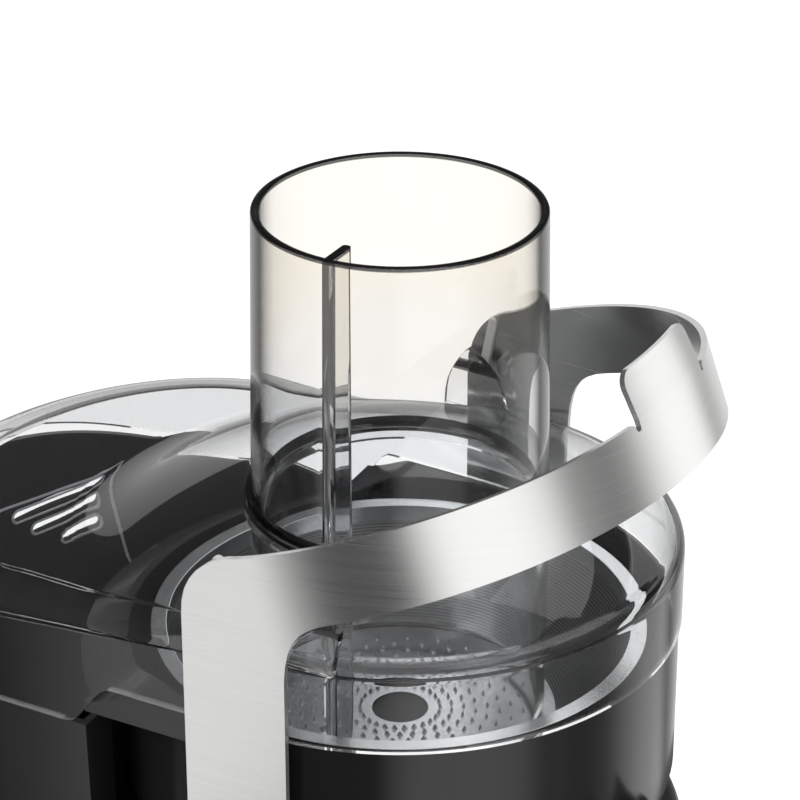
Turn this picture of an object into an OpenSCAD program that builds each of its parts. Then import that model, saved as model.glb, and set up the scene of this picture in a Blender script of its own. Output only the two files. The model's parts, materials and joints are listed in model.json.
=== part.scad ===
// Centrifugal juicer: motor base, juice bowl with filter basket, clear lid with a wide feed tube,
// pulp container and a U-shaped locking arm.
// +Z is up and +X points to the spout and the arm's grip. The pulp container is at -X and the knob at -Y.
// The origin is the middle of the footprint, on the surface that the feet stand on.

/* [Feed tube] */
// Outer diameter of the tube at its mouth
tube_d = 90; // [78:1:96]
// Wall of the tube
tube_wall = 2.8; // [2:0.1:4]
// Height of the mouth above the collar on the lid
tube_h = 93.2; // [60:0.1:120]
// How much wider the tube is in radius at the collar than at its mouth
tube_flare = 1.6; // [0:0.1:3]
// Depth of the guide rib inside the tube
rib_depth = 12; // [6:0.5:18]
// Thickness of the guide rib
rib_w = 2.8; // [2:0.1:4]

/* [Filter basket] */
// Outer radius of the basket's rim
basket_r = 78.8; // [74:0.1:95]
// Depth of the basket from its rim to the grater
basket_depth = 34; // [28:0.5:45]
// Sheet thickness of the basket
basket_t = 1; // [0.6:0.1:1.6]
// Rows of teeth round the grater
tooth_rows = 4; // [2:1:5]

/* [Juice bowl] */
// Height from the deck of the base to the basket's rim
bowl_h = 70; // [62:0.5:90]
// Gap between the basket's rim and the bowl
basket_gap = 7.3; // [5:0.1:10]
// Wall of the bowl
bowl_wall = 2.6; // [2:0.1:4]
// Inner radius of the juice outlet
outlet_r = 8; // [6:0.5:9]
// Reach of the spout from the spindle
spout_reach = 125; // [118:0.5:150]

/* [Lid] */
// How far the lid's skirt stands outside the bowl
lid_step = 0.9; // [0.5:0.1:2]
// Wall of the lid
lid_wall = 2.4; // [2:0.1:3.5]
// Height of the collar round the tube above the basket's rim
collar_h = 47.3; // [42:0.1:60]
// Height of the lid's shoulder above the basket's rim
shoulder_h = 33.7; // [30:0.1:40]
// Drop of the lid's shoulder over the pulp side
pulp_drop = 14; // [4:0.5:18]

/* [Pulp container] */
// Distance from the spindle to the middle of the container's round end
pulp_offset = 95; // [85:0.5:120]
// Half length of the container's round end
pulp_end = 80; // [60:0.5:95]
// Wall of the container
pulp_wall = 2.4; // [1.8:0.1:3.5]
// Length of the longest vent slot
vent_l = 30; // [20:0.5:34]

/* [Locking arm] */
// Thickness of the arm's metal
arm_t = 2; // [1.5:0.1:3]
// Gap between the lid and the arm
arm_gap = 3.9; // [3.5:0.1:6]
// Height of the arm's band
band_h = 23.7; // [18:0.1:28]
// Rise of the band from the legs to the grip
arm_tilt = 20.1; // [14:0.1:22]
// Reach of the band from the end of its straight sides
band_reach = 99; // [96:0.5:118]
// Width of each leg
leg_w = 34.5; // [28:0.5:38]
// Width of the grip tab
tab_w = 43; // [30:1:60]
// Height of the grip tab above the band
tab_h = 14.5; // [8:0.5:16]
// Diameter of the arm's pivot pins
pivot_d = 8; // [6:0.5:10]

/* [Motor base] */
// Height of the housing from its underside to the deck
housing_h = 157; // [130:1:200]
// Wall of the housing
housing_wall = 3; // [2.4:0.1:4]
// How much wider the housing is in radius at its foot
housing_flare = 2.6; // [1:0.1:4]
// Height of the feet under the housing
foot_h = 8; // [5:0.5:12]
// Radius of each foot
foot_r = 10; // [8:0.5:14]
// Height of the tray that the pulp container stands on
tray_h = 14; // [12:0.5:24]

/* [Motor] */
// Diameter of the motor's shaft
shaft_d = 8; // [6:0.5:10]
// Radius of the rotor
rotor_r = 22; // [18:0.5:26]
// Height of the rotor's iron core
core_h = 34; // [26:1:40]
// Side of the stator's iron
stator_w = 80; // [74:1:86]
// Outer diameter of the two ball bearings
bearing_d = 22; // [19:0.5:24]
// Radius of the cooling fan
fan_r = 36; // [30:0.5:40]

/* [Controls] */
// Radius of the speed knob
knob_r = 19; // [14:0.5:22]
// Height of the knob's centre above the housing's underside
knob_h = 54; // [44:1:70]
// Thickness of the speed knob
knob_t = 9.4; // [7:0.1:14]
// Length of the cord inlet's sleeve behind its flange
inlet_l = 7; // [5:0.5:20]
// Radius of the knob's shaft
knob_shaft_r = 3; // [2.5:0.1:4]

/* [Hidden] */
$fn = 96;

eps = 0.01;
fit = 0.03;          // radial clearance of a running fit
slack = 0.3;         // clearance between pieces that come apart by hand
facets = 24;         // points on each round end of an outline

// Heights
deck_z = foot_h + housing_h;
rim_z = deck_z + bowl_h;
tray_z = foot_h + tray_h;
collar_z = rim_z + collar_h;
mouth_z = collar_z + tube_h;
part_z = rim_z + 4.5;             // where the lid meets the bowl
grater_z = rim_z - basket_depth;
tube_end_z = grater_z + 6;

// Radii that follow from the basket outwards
bowl_in_r = basket_r + basket_gap;
bowl_r = bowl_in_r + bowl_wall;
lid_r = bowl_r + lid_step;
arm_in = lid_r + arm_gap;
arm_half = arm_in + arm_t;
housing_r = arm_in - 1.1;
foot_line_r = housing_r + housing_flare;
tube_r = tube_d / 2;
tube_low_r = tube_r + tube_flare;
collar_r = tube_low_r + 1.2;
cone_low_r = tube_low_r + 4;
cone_top_r = basket_r - 4;
bay_r = foot_line_r + 1.2;        // hollow side of the pulp container
lip_r = bay_r + pulp_wall + 2.4;  // reach of the bowl's pulp lip
lip_half = 50;                    // half angle of the pulp lip
ear_x = -62;                      // where the bowl's side ears end

// Middle of the footprint, counted from the spindle
spindle_x = (pulp_offset + pulp_end - spout_reach) / 2;

// Bowl and outlet
bowl_z = deck_z + 0.2;
floor_t = 3;
chimney_r = 24;
chimney_in = 21;
chimney_h = 27;
outlet_wall = 2.5;
outlet_z = bowl_z + floor_t + outlet_r + 1;
outlet_x = bowl_r + 9.3;          // hinge line of the spout
nose_r = outlet_r + outlet_wall + 1.2;
cheek_in = outlet_r + outlet_wall + 0.7;
cheek_out = cheek_in + 2;
spout_pin_r = 2;

// Locking arm
pivot_x = -3.75;
pivot_z = deck_z - 15;
pivot_r = pivot_d / 2;
band_z = rim_z + 41.85;
band_straight = 7.5;
band_power = 2.1;
leg_round = 11;
stud_r = 3;
stud_z = rim_z + 48;
stud_end = arm_half - 0.6;        // the studs don't come through the arm's face
bump_top_r = stud_z - stud_r - 1 - pivot_z;
bump_half = 24.5;
bush_wall = 2;
boss_l = 15;
cap_r = 13;
cap_t = 3;

// Pulp container and the saddle of its rim
rim_low = rim_z - 14.5;
rim_high = rim_z + 8;
saddle_x = -112;
saddle_power = 1.4;
vent_gap = 6.2;
vent_h = 3.4;
vent_z = rim_z - 26;
vent_angle = 152;

// Drive
shaft_r = shaft_d / 2;
bearing_h = 7;
frame_t = 4;
shaft_top = deck_z + 21;
coupling_r = 7.6;
coupling_top = deck_z + 29;
upper_plate_z = deck_z - housing_wall - 18;
upper_bearing_z = upper_plate_z - bearing_h;
fan_z = upper_bearing_z - 16;
fan_h = 12;
winding_h = 9;
core_z = fan_z - winding_h - 2 - core_h;
commutator_h = 14;
commutator_z = core_z - winding_h - 3 - commutator_h;
lower_plate_z = commutator_z - 3 - bearing_h - 1;
commutator_r = 11;
air_gap = 1.2;
post_xy = stator_w / 2 - 6;
mount_r = 6;
screw_r = 1.9;

// Controls
knob_z = foot_h + knob_h;
panel_y = housing_r + 1.6;
knob_front = panel_y + 0.6 + knob_t;
inlet_end = foot_line_r + 2 + inlet_l;
pin_x = -40;
pin_y = 50;
pin_r = 3;
pin_l = 14;
spring_h = 8;
spring_wire = 0.8;
spring_turns = 4;

foot_spots = [[62, 52], [62, -52], [-130, 42], [-130, -42]];
plate_t = 3;
boss_at = foot_line_r - housing_wall - 4;
plate_screws = [
    [boss_at * cos(20), boss_at * sin(20)], [boss_at * cos(20), -boss_at * sin(20)],
    [-105, 62], [-105, -62]];

// A height that rises towards the far end of the pulp container
function saddle(x) = x > saddle_x ? rim_low
    : rim_low + (rim_high - rim_low)
        * pow((saddle_x - x) / (saddle_x + pulp_offset + pulp_end), saddle_power);

// Outline of a round bowl with an elliptical end: radius r, end half length a, end half width b
function outline(r, a, b) = concat(
    [for (i = [0:facets]) let (t = -90 + 180 * i / facets) [r * cos(t), r * sin(t)]],
    [for (i = [0:facets]) let (t = 90 + 180 * i / facets) [-pulp_offset + a * cos(t), b * sin(t)]]);

// Half of the arm's plan: straight sides, then a superellipse round the grip
function band_arc(reach, half) = [
    for (i = [-facets:facets]) let (t = 90 * i / facets)
        [band_straight + reach * pow(cos(t), 2 / band_power),
         sign(t) * half * pow(abs(sin(t)), 2 / band_power)]];

module at_spindle() {
    translate([spindle_x, 0, 0]) children();
}

module plan(inset = 0) {
    polygon(outline(lid_r - inset, pulp_end - inset, lid_r - inset));
}

// Outline of the whole foot: the round housing and the tray
module foot_plan(inset = 0) {
    plan(inset);
    circle(r = foot_line_r - inset);
}

module ring(r_out, r_in, h) {
    difference() {
        cylinder(r = r_out, h = h);
        translate([0, 0, -1]) cylinder(r = r_in, h = h + 2);
    }
}

// A cylinder along +Y from y0 to y1
module y_rod(r, y0, y1) {
    translate([0, y0, 0]) rotate([-90, 0, 0]) cylinder(r = r, h = y1 - y0);
}

module both_sides() {
    children();
    mirror([0, 1, 0]) children();
}

// ---- Base ----

module rubber_feet() {
    color("#1c1c1c") at_spindle() for (p = foot_spots) translate([p.x, p.y, 0]) {
        cylinder(r1 = foot_r - 1.5, r2 = foot_r, h = 1.5);
        translate([0, 0, 1.5]) cylinder(r = foot_r, h = foot_h - 1.5);
    }
}

module base_plate() {
    color("#26262a") at_spindle() translate([0, 0, foot_h]) difference() {
        linear_extrude(plate_t) foot_plan(housing_wall + slack);
        for (p = plate_screws) translate([p.x, p.y, -1]) cylinder(r = screw_r + 0.2, h = 5);
        for (i = [-5:5]) translate([i * 8 - 1.5, -25, -1]) cube([3, 50, 5]);
    }
}

module base_screws() {
    color("#b8bcc0") at_spindle() for (p = plate_screws) translate([p.x, p.y, 0]) {
        translate([0, 0, foot_h - 2]) cylinder(r = 3.6, h = 2);
        translate([0, 0, foot_h]) cylinder(r = screw_r, h = tray_h - housing_wall - 1);
    }
}

module housing_profile(inset) {
    z_low = inset > 0 ? foot_h - 1 : foot_h;
    polygon([
        [0, z_low],
        [foot_line_r - inset, z_low],
        [foot_line_r - inset, foot_h + 6],
        [housing_r + 1.2 - inset, foot_h + 34],
        [housing_r - inset, foot_h + 70],
        [housing_r - inset, deck_z - 5],
        [housing_r - 1.4 - inset, deck_z - 1.6 - inset],
        [housing_r - 4.5 - inset, deck_z - inset],
        [0, deck_z - inset],
    ]);
}

module tray() {
    translate([0, 0, foot_h]) linear_extrude(tray_h) plan();
}

module tray_hollow() {
    translate([0, 0, foot_h - 1]) linear_extrude(tray_h + 1 - housing_wall) plan(housing_wall);
}

module motor_housing() {
    color("#151517") at_spindle() {
        difference() {
            union() {
                rotate_extrude() housing_profile(0);
                tray();
                translate([0, 0, knob_z]) y_rod(knob_r + 6, -panel_y, -housing_r + 10);
            }
            rotate_extrude() housing_profile(housing_wall);
            tray_hollow();
            translate([0, 0, deck_z - housing_wall - 1]) cylinder(r = 13, h = housing_wall + 2);
            translate([pin_x, pin_y, deck_z - 10]) cylinder(r = pin_r + 0.1, h = 12);
            translate([pivot_x, 0, pivot_z])
                both_sides() y_rod(pivot_r + bush_wall, housing_r - boss_l - 1, housing_r + 2);
            translate([0, 0, knob_z]) y_rod(knob_shaft_r + 1, -panel_y - 1, -housing_r + 12);
            translate([0, 0, foot_h + 22]) y_rod(6, housing_r - 10, housing_r + 6);
            for (i = [-6:6], s = [-1, 1]) rotate([0, 0, 90 + i * 7])
                translate([-1.4, s * (housing_r + 2) - 4, foot_h + 66]) cube([2.8, 8, 16]);
        }
        pivot_bosses();
        translate([0, 0, deck_z - eps]) ring(chimney_in - 1, chimney_in - 4, 3);
        for (p = plate_screws) translate([p.x, p.y, foot_h + plate_t + 0.2])
            ring(5, screw_r, tray_h - housing_wall - plate_t);
    }
}

module pivot_bosses() {
    translate([pivot_x, 0, pivot_z]) both_sides() difference() {
        y_rod(pivot_r + bush_wall + 3, housing_r - boss_l, housing_r - 1.5);
        y_rod(pivot_r + bush_wall, housing_r - boss_l - 1, housing_r + 2);
    }
}

module steel_band() {
    color("#c3c6c8") at_spindle() translate([0, 0, foot_h + 88])
        ring(housing_r + 0.9, housing_r + 0.05, 32);
}

module pivot_bushes() {
    color("#b08d57") at_spindle() translate([pivot_x, 0, pivot_z]) both_sides() difference() {
        y_rod(pivot_r + bush_wall, housing_r - boss_l, housing_r - 0.2);
        y_rod(pivot_r + fit, housing_r - boss_l - 1, housing_r + 1);
    }
}

module cord_inlet() {
    color("#111111") at_spindle() translate([0, 0, foot_h + 22]) difference() {
        union() {
            y_rod(5.9, housing_r - 8, foot_line_r + 1);
            y_rod(8.5, foot_line_r - 0.2, foot_line_r + 2.5);
            y_rod(6.5, foot_line_r + 2, inlet_end);
        }
        y_rod(3.6, housing_r - 9, inlet_end + 1);
    }
}

// ---- Motor ----

module motor_plate(z) {
    translate([0, 0, z]) linear_extrude(frame_t) difference() {
        union() {
            circle(r = bearing_d / 2 + 8);
            for (a = [45:90:315]) rotate(a) translate([0, -7]) square([post_xy * sqrt(2), 14]);
            for (x = [-1, 1], y = [-1, 1]) translate([x * post_xy, y * post_xy]) circle(r = 8);
        }
        circle(r = shaft_r + 2);
        for (x = [-1, 1], y = [-1, 1]) translate([x * post_xy, y * post_xy]) circle(r = screw_r);
    }
}

module bearing_cup(z) {
    translate([0, 0, z]) ring(bearing_d / 2 + 3, bearing_d / 2, bearing_h);
}

module motor_frame() {
    color("#9a9ea3") at_spindle() {
        motor_plate(upper_plate_z);
        bearing_cup(upper_bearing_z);
        motor_plate(lower_plate_z - frame_t);
        bearing_cup(lower_plate_z);
    }
}

module frame_screws() {
    color("#b8bcc0") at_spindle() for (x = [-1, 1], y = [-1, 1])
        translate([x * post_xy, y * post_xy, 0]) {
            translate([0, 0, lower_plate_z - frame_t]) cylinder(r = screw_r, h = deck_z - 5
                - lower_plate_z + frame_t);
            translate([0, 0, lower_plate_z - frame_t - 3]) cylinder(r = 4, h = 3);
        }
}

module rubber_mounts() {
    color("#222222") at_spindle() for (x = [-1, 1], y = [-1, 1])
        translate([x * post_xy, y * post_xy, upper_plate_z + frame_t])
            ring(mount_r, screw_r, deck_z - housing_wall - upper_plate_z - frame_t);
}

module stator_core() {
    color("#6f7276") at_spindle() translate([0, 0, core_z]) linear_extrude(core_h) difference() {
        intersection() {
            square(stator_w, center = true);
            circle(r = stator_w / 2 + 8);
        }
        circle(r = rotor_r + air_gap);
        for (s = [-1, 1]) translate([s * (rotor_r + air_gap + 3), 0]) square([7, 26], center = true);
        for (x = [-1, 1], y = [-1, 1]) translate([x * post_xy, y * post_xy]) circle(r = screw_r + 0.3);
    }
}

module field_coils() {
    color("#b5652b") at_spindle() for (s = [-1, 1], z = [core_z - winding_h, core_z + core_h])
        intersection() {
            translate([0, 0, z]) ring(rotor_r + 12, rotor_r + 3, winding_h);
            translate([-50, s > 0 ? 3 : -53, z - 1]) cube([100, 50, winding_h + 2]);
        }
}

module bearing(z) {
    translate([0, 0, z]) ring(bearing_d / 2, shaft_r + fit, bearing_h);
}

module upper_bearing() {
    color("#d0d3d6") at_spindle() bearing(upper_bearing_z);
}

module lower_bearing() {
    color("#d0d3d6") at_spindle() bearing(lower_plate_z);
}

module brush_holders() {
    color("#7a5c3a") at_spindle() translate([0, 0, commutator_z + 3]) both_sides() difference() {
        translate([-6, commutator_r + 4, -2]) cube([12, 20, 12]);
        translate([-3.5, commutator_r + 3, 0]) cube([7, 18, 8]);
    }
}

module carbon_brushes() {
    color("#303030") at_spindle() translate([0, 0, commutator_z + 3]) both_sides() difference() {
        translate([-3.4, commutator_r - 1, 0.1]) cube([6.8, 18, 7.8]);
        translate([0, 0, -1]) cylinder(r = commutator_r + 0.15, h = 12);
    }
}

module shaft_seal() {
    color("#2a2a2a") at_spindle() translate([0, 0, deck_z - housing_wall])
        ring(13, shaft_r + 0.08, housing_wall);
}

module motor_shaft() {
    color("#c9ccd0") at_spindle() translate([0, 0, lower_plate_z - frame_t - 1])
        cylinder(r = shaft_r, h = shaft_top - lower_plate_z + frame_t + 1);
}

module rotor_core() {
    color("#5f6266") at_spindle() translate([0, 0, core_z]) linear_extrude(core_h) difference() {
        circle(r = rotor_r);
        circle(r = shaft_r);
        for (a = [0:30:330]) rotate(a) translate([rotor_r - 5, -1]) square([6, 2]);
    }
}

module rotor_winding() {
    color("#a85a24") at_spindle() {
        translate([0, 0, core_z - winding_h + 1]) ring(rotor_r - 4, shaft_r, winding_h - 1);
        translate([0, 0, core_z + core_h]) ring(rotor_r - 4, shaft_r, winding_h - 1);
    }
}

module commutator() {
    color("#c08a4a") at_spindle() translate([0, 0, commutator_z]) linear_extrude(commutator_h)
        difference() {
            circle(r = commutator_r);
            circle(r = shaft_r);
            for (a = [0:15:345]) rotate(a) translate([commutator_r - 0.8, -0.25]) square([1, 0.5]);
        }
}

module cooling_fan() {
    color("#e4e1d6") at_spindle() translate([0, 0, fan_z]) {
        ring(9, shaft_r, fan_h);
        ring(fan_r, 8.5, 2);
        for (a = [0:30:330]) rotate([0, 0, a]) translate([14, -0.9, 1.5]) rotate([0, 0, 18])
            cube([fan_r - 15, 1.8, fan_h - 2.5]);
    }
}

module coupling_plan(grow) {
    circle(r = coupling_r - 1.6 + grow);
    for (a = [0:60:300]) rotate(a) translate([coupling_r - 1.9, 0]) circle(r = 1.9 + grow);
}

module drive_coupling() {
    color("#303236") at_spindle() difference() {
        union() {
            translate([0, 0, deck_z + 3.4]) cylinder(r = coupling_r + 2.2, h = 6);
            translate([0, 0, deck_z + 4]) linear_extrude(coupling_top - deck_z - 4) coupling_plan(0);
        }
        translate([0, 0, deck_z]) cylinder(r = shaft_r, h = shaft_top - deck_z);
    }
}

// ---- Controls ----

module switch_body() {
    color("#3a3a3e") at_spindle() difference() {
        translate([-14, -housing_r + housing_wall + 2, knob_z - 14]) cube([28, 17, 28]);
        translate([0, 0, knob_z]) y_rod(knob_shaft_r + fit, -housing_r, -housing_r + 30);
    }
}

module indicator_ring() {
    color("#d8d8d8") at_spindle() translate([0, 0, knob_z]) difference() {
        y_rod(knob_r + 3.4, -panel_y - 1.2, -panel_y);
        y_rod(knob_r + 0.8, -panel_y - 2, -panel_y + 1);
    }
}

module speed_knob() {
    color("#17171a") at_spindle() translate([0, 0, knob_z]) difference() {
        union() {
            y_rod(knob_r, -panel_y - 0.6 - knob_t + 2, -panel_y - 0.6);
            translate([0, -knob_front, 0]) rotate([-90, 0, 0])
                cylinder(r1 = knob_r - 1.6, r2 = knob_r, h = 2);
            translate([-2.2, -knob_front + 0.4, -knob_r - 0.4]) cube([4.4, knob_t - 1, 5]);
        }
        y_rod(knob_r - 4, -knob_front - 1, -knob_front + 1.2);
        y_rod(knob_shaft_r, -knob_front + 3, -panel_y + 1);
    }
}

module knob_cap() {
    color("#c3c6c8") at_spindle() translate([0, 0, knob_z]) difference() {
        y_rod(knob_r - 4, -knob_front + 0.3, -knob_front + 1.2);
        translate([-0.7, -knob_front - 1, -knob_r + 5]) cube([1.4, 1.7, 8]);
    }
}

module knob_shaft() {
    color("#b8bcc0") at_spindle() translate([0, 0, knob_z])
        y_rod(knob_shaft_r, -knob_front + 3, -housing_r + 22);
}

module control_board() {
    color("#2f6b3c") at_spindle() translate([56, -32, foot_h + 24]) difference() {
        cube([1.6, 64, 62]);
        for (y = [5, 59], z = [5, 57]) translate([-1, y, z]) rotate([0, 90, 0])
            cylinder(r = screw_r, h = 4);
    }
}

module board_parts() {
    color("#35506e") at_spindle() translate([57.6, -32, foot_h + 24]) {
        translate([0, 12, 12]) rotate([0, 90, 0]) cylinder(r = 6, h = 14);
        translate([0, 30, 12]) cube([10, 16, 10]);
        translate([0, 12, 36]) cube([3, 20, 16]);
        translate([0, 44, 44]) rotate([0, 90, 0]) cylinder(r = 4, h = 9);
    }
}

module suppression_capacitor() {
    color("#c9b23a") at_spindle() translate([-20, 62, foot_h + 16]) cube([26, 12, 18]);
}

module safety_switch() {
    color("#43464b") at_spindle() translate([pin_x, pin_y, 0]) {
        translate([-10, -4, switch_top() - 12]) cube([20, 8, 12]);
        for (x = [-10, 7]) translate([x, -4, switch_top() - 1])
            cube([3, 8, deck_z - housing_wall - switch_top() + 1]);
    }
}

function switch_top() = deck_z - pin_l - spring_h;

module safety_pin() {
    color("#d6d2c4") at_spindle() translate([pin_x, pin_y, deck_z - pin_l]) {
        cylinder(r = pin_r, h = pin_l);
        cylinder(r = pin_r + 1.6, h = 2);
    }
}

// A helical wire of square section, swept ring by ring
module helix(r, wire, turns, h) {
    n = turns * 16;
    corners = [[-wire, -wire], [wire, -wire], [wire, wire], [-wire, wire]] / 2;
    points = [for (i = [0:n], c = corners) let (a = 360 * i / 16)
        [(r + c.x) * cos(a), (r + c.x) * sin(a), wire / 2 + (h - wire) * i / n + c.y]];
    sides = [for (i = [0:n - 1], k = [0:3]) let (p = 4 * i, q = (k + 1) % 4)
        [p + k, p + 4 + k, p + 4 + q, p + q]];
    polyhedron(points, concat([[0, 1, 2, 3]], sides, [[4 * n + 3, 4 * n + 2, 4 * n + 1, 4 * n]]));
}

module pin_spring() {
    color("#aeb2b6") at_spindle() translate([pin_x, pin_y, switch_top() + 0.1])
        helix(pin_r + 0.6, spring_wire, spring_turns, spring_h - 0.2);
}

// ---- Locking arm ----

module band_plan(inset) {
    polygon(concat(
        [[-110, -arm_half + inset]],
        band_arc(band_reach - inset, arm_half - inset),
        [[-110, arm_half - inset]]));
}

// Side view of the legs and band, in X and Z
module arm_side() {
    reach = band_straight + band_reach + 10;
    difference() {
        union() {
            translate([pivot_x, pivot_z]) circle(r = leg_w / 2);
            translate([pivot_x - leg_w / 2, pivot_z]) square([leg_w, band_z + 4 - pivot_z]);
            translate([pivot_x - leg_w / 2 + leg_round, band_z + 4]) circle(r = leg_round);
            polygon([
                [pivot_x - leg_w / 2, band_z],
                [pivot_x - leg_w / 2, band_z + 4],
                [pivot_x - leg_w / 2 + leg_round * 0.66, band_z + 4 + leg_round * 0.94],
                band_point(0, band_h),
                band_point(reach, band_h),
                band_point(reach, 0),
                band_point(34, 0),
                [pivot_x + leg_w / 2, band_z - 14],
            ]);
        }
        translate([pivot_x + leg_w / 2 + leg_round + 0.5, band_z - 4.5]) circle(r = leg_round);
    }
}

function band_point(t, v) =
    [t * cos(arm_tilt) - v * sin(arm_tilt), band_z + t * sin(arm_tilt) + v * cos(arm_tilt)];

module in_band_plane() {
    translate([0, 0, band_z]) rotate([0, -arm_tilt, 0]) children();
}

module ribbon(v_low, v_high) {
    in_band_plane() translate([0, 0, v_low]) linear_extrude(v_high - v_low) difference() {
        band_plan(0);
        translate([-1, 0]) band_plan(arm_t);
    }
}

module tab_side() {
    translate([-tab_w / 2, band_h - 1]) square([tab_w, tab_h + 1 - 5]);
    translate([-tab_w / 2 + 5, band_h]) square([tab_w - 10, tab_h]);
    for (s = [-1, 1]) translate([s * (tab_w / 2 - 5), band_h + tab_h - 5]) circle(r = 5);
}

module locking_arm() {
    color("#c9cbcd") at_spindle() difference() {
        union() {
            intersection() {
                ribbon(pivot_z - band_z - leg_w, band_h + 14);
                translate([0, arm_half + 1, 0]) rotate([90, 0, 0])
                    linear_extrude(2 * arm_half + 2) arm_side();
            }
            intersection() {
                ribbon(band_h - 1, band_h + tab_h);
                in_band_plane() translate([band_straight + 40, 0, 0]) rotate([90, 0, 90])
                    linear_extrude(band_reach) tab_side();
            }
        }
        translate([pivot_x, 0, pivot_z]) both_sides() y_rod(pivot_r, arm_in - 1, arm_half + 1);
        translate([pivot_x, 0, stud_z]) both_sides() y_rod(stud_r - 1, arm_in - 1, stud_end);
    }
}

module pivot_pins() {
    color("#b8bcc0") at_spindle() translate([pivot_x, 0, pivot_z]) both_sides() {
        y_rod(pivot_r, housing_r - boss_l + 1, arm_half + 1);
        y_rod(pivot_r + 3, housing_r + 0.4, arm_in);
    }
}

module pivot_caps() {
    color("#1a1a1c") at_spindle() translate([pivot_x, 0, pivot_z]) both_sides() difference() {
        union() {
            y_rod(cap_r, arm_half, arm_half + cap_t - 1);
            translate([0, arm_half + cap_t - 1, 0]) rotate([-90, 0, 0])
                cylinder(r1 = cap_r, r2 = cap_r - 1.5, h = 1);
        }
        y_rod(pivot_r, arm_half - 1, arm_half + 1);
    }
}

module latch_studs() {
    color("#b8bcc0") at_spindle() translate([pivot_x, 0, stud_z]) both_sides() {
        y_rod(stud_r, lid_r + 0.7, arm_in);
        y_rod(stud_r - 1, arm_in - 0.1, stud_end);
    }
}

// ---- Bowl ----

module bowl_profile() {
    polygon([
        [chimney_in, bowl_z],
        [bowl_in_r - 16, bowl_z],
        [bowl_in_r - 6, bowl_z + 3],
        [bowl_r - 2, bowl_z + 13],
        [bowl_r, bowl_z + 22],
        [bowl_r, part_z - 0.2],
        [bowl_in_r, part_z - 0.2],
        [bowl_in_r, bowl_z + 24],
        [bowl_in_r - 2.2, bowl_z + 15.5],
        [bowl_in_r - 8, bowl_z + 6],
        [bowl_in_r - 17, bowl_z + floor_t],
        [chimney_r, bowl_z + floor_t],
        [chimney_r, bowl_z + chimney_h],
        [chimney_in, bowl_z + chimney_h],
    ]);
}

module pulp_lip() {
    rotate([0, 0, 180 - lip_half]) rotate_extrude(angle = 2 * lip_half) polygon([
        [bowl_in_r + 0.5, rim_z - 1.6],
        [lip_r, rim_z - 8],
        [lip_r, rim_z - 10],
        [bowl_in_r + 0.5, rim_z - 6],
    ]);
}

module outlet_tube(r) {
    translate([bowl_in_r - 14, 0, outlet_z]) rotate([0, 90, 0]) cylinder(r = r, h = 60);
}

module juice_bowl() {
    color("#131315") at_spindle() difference() {
        union() {
            rotate_extrude() bowl_profile();
            pulp_lip();
            translate([0, 0, rim_z - 6]) linear_extrude(part_z - 0.2 - rim_z + 6) difference() {
                intersection() {
                    plan(lid_step);
                    translate([ear_x + slack, -200]) square([-ear_x - slack, 400]);
                }
                circle(r = bowl_in_r + 0.5);
            }
            intersection() {
                outlet_tube(outlet_r + outlet_wall);
                union() {
                    translate([bowl_in_r - 3, -30, bowl_z])
                        cube([outlet_x - bowl_in_r + 3, 60, 60]);
                    translate([outlet_x, 0, outlet_z]) y_rod(nose_r, -30, 30);
                }
            }
        }
        outlet_tube(outlet_r);
        translate([outlet_x, 0, outlet_z])
            both_sides() y_rod(spout_pin_r, outlet_r + outlet_wall - 1.5, cheek_out);
        translate([0, 0, rim_z - 1.6]) linear_extrude(20)
            polygon([[-40, 0], for (s = [-1, 1]) [-200, s * 160 * tan(lip_half)]]);
    }
}

module outlet_pins() {
    color("#131315") at_spindle() translate([outlet_x, 0, outlet_z])
        both_sides() y_rod(spout_pin_r, outlet_r + outlet_wall - 1.5, cheek_out);
}

module drip_stop_spout() {
    color("#1b1b1e") at_spindle() translate([outlet_x, 0, outlet_z]) difference() {
        union() {
            intersection() {
                rotate([0, 90, 0]) cylinder(r = cheek_out, h = spout_reach - outlet_x);
                translate([-1, -20, -20]) cube([60, 40, 21.5]);
            }
            both_sides() y_rod(6, cheek_in, cheek_out);
        }
        translate([-1, 0, 0]) rotate([0, 90, 0]) cylinder(r = cheek_in, h = 60);
        y_rod(nose_r + 0.4, -cheek_in, cheek_in);
        y_rod(spout_pin_r + fit, -20, 20);
    }
}

// ---- Filter basket ----

module basket_rim() {
    color("#d2d4d6") at_spindle() rotate_extrude() polygon([
        [cone_top_r - 1.2, rim_z],
        [basket_r, rim_z],
        [basket_r, rim_z - 2.4],
        [basket_r - basket_t, rim_z - 2.4],
        [basket_r - basket_t, rim_z - basket_t],
        [cone_top_r, rim_z - basket_t],
        [cone_top_r, rim_z - 6],
        [cone_top_r - 1.2, rim_z - 6],
    ]);
}

module filter_mesh() {
    color("#a9acaf") at_spindle() rotate_extrude() polygon([
        [cone_top_r - 1.2, rim_z - 6],
        [cone_top_r, rim_z - 6],
        [cone_low_r + 0.9, grater_z],
        [cone_low_r - 0.3, grater_z],
    ]);
}

module grater_disc() {
    color("#c4c7ca") at_spindle() {
        translate([0, 0, grater_z - basket_t]) ring(cone_low_r + 0.9, shaft_r + 1, basket_t);
        for (row = [1:tooth_rows], i = [0:6 * row - 1]) let (r = 8 + row * (cone_low_r - 14) / tooth_rows)
            rotate([0, 0, i * 60 / row]) translate([r, -1, grater_z - eps]) cube([1.2, 2, 1.2]);
    }
}

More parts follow.
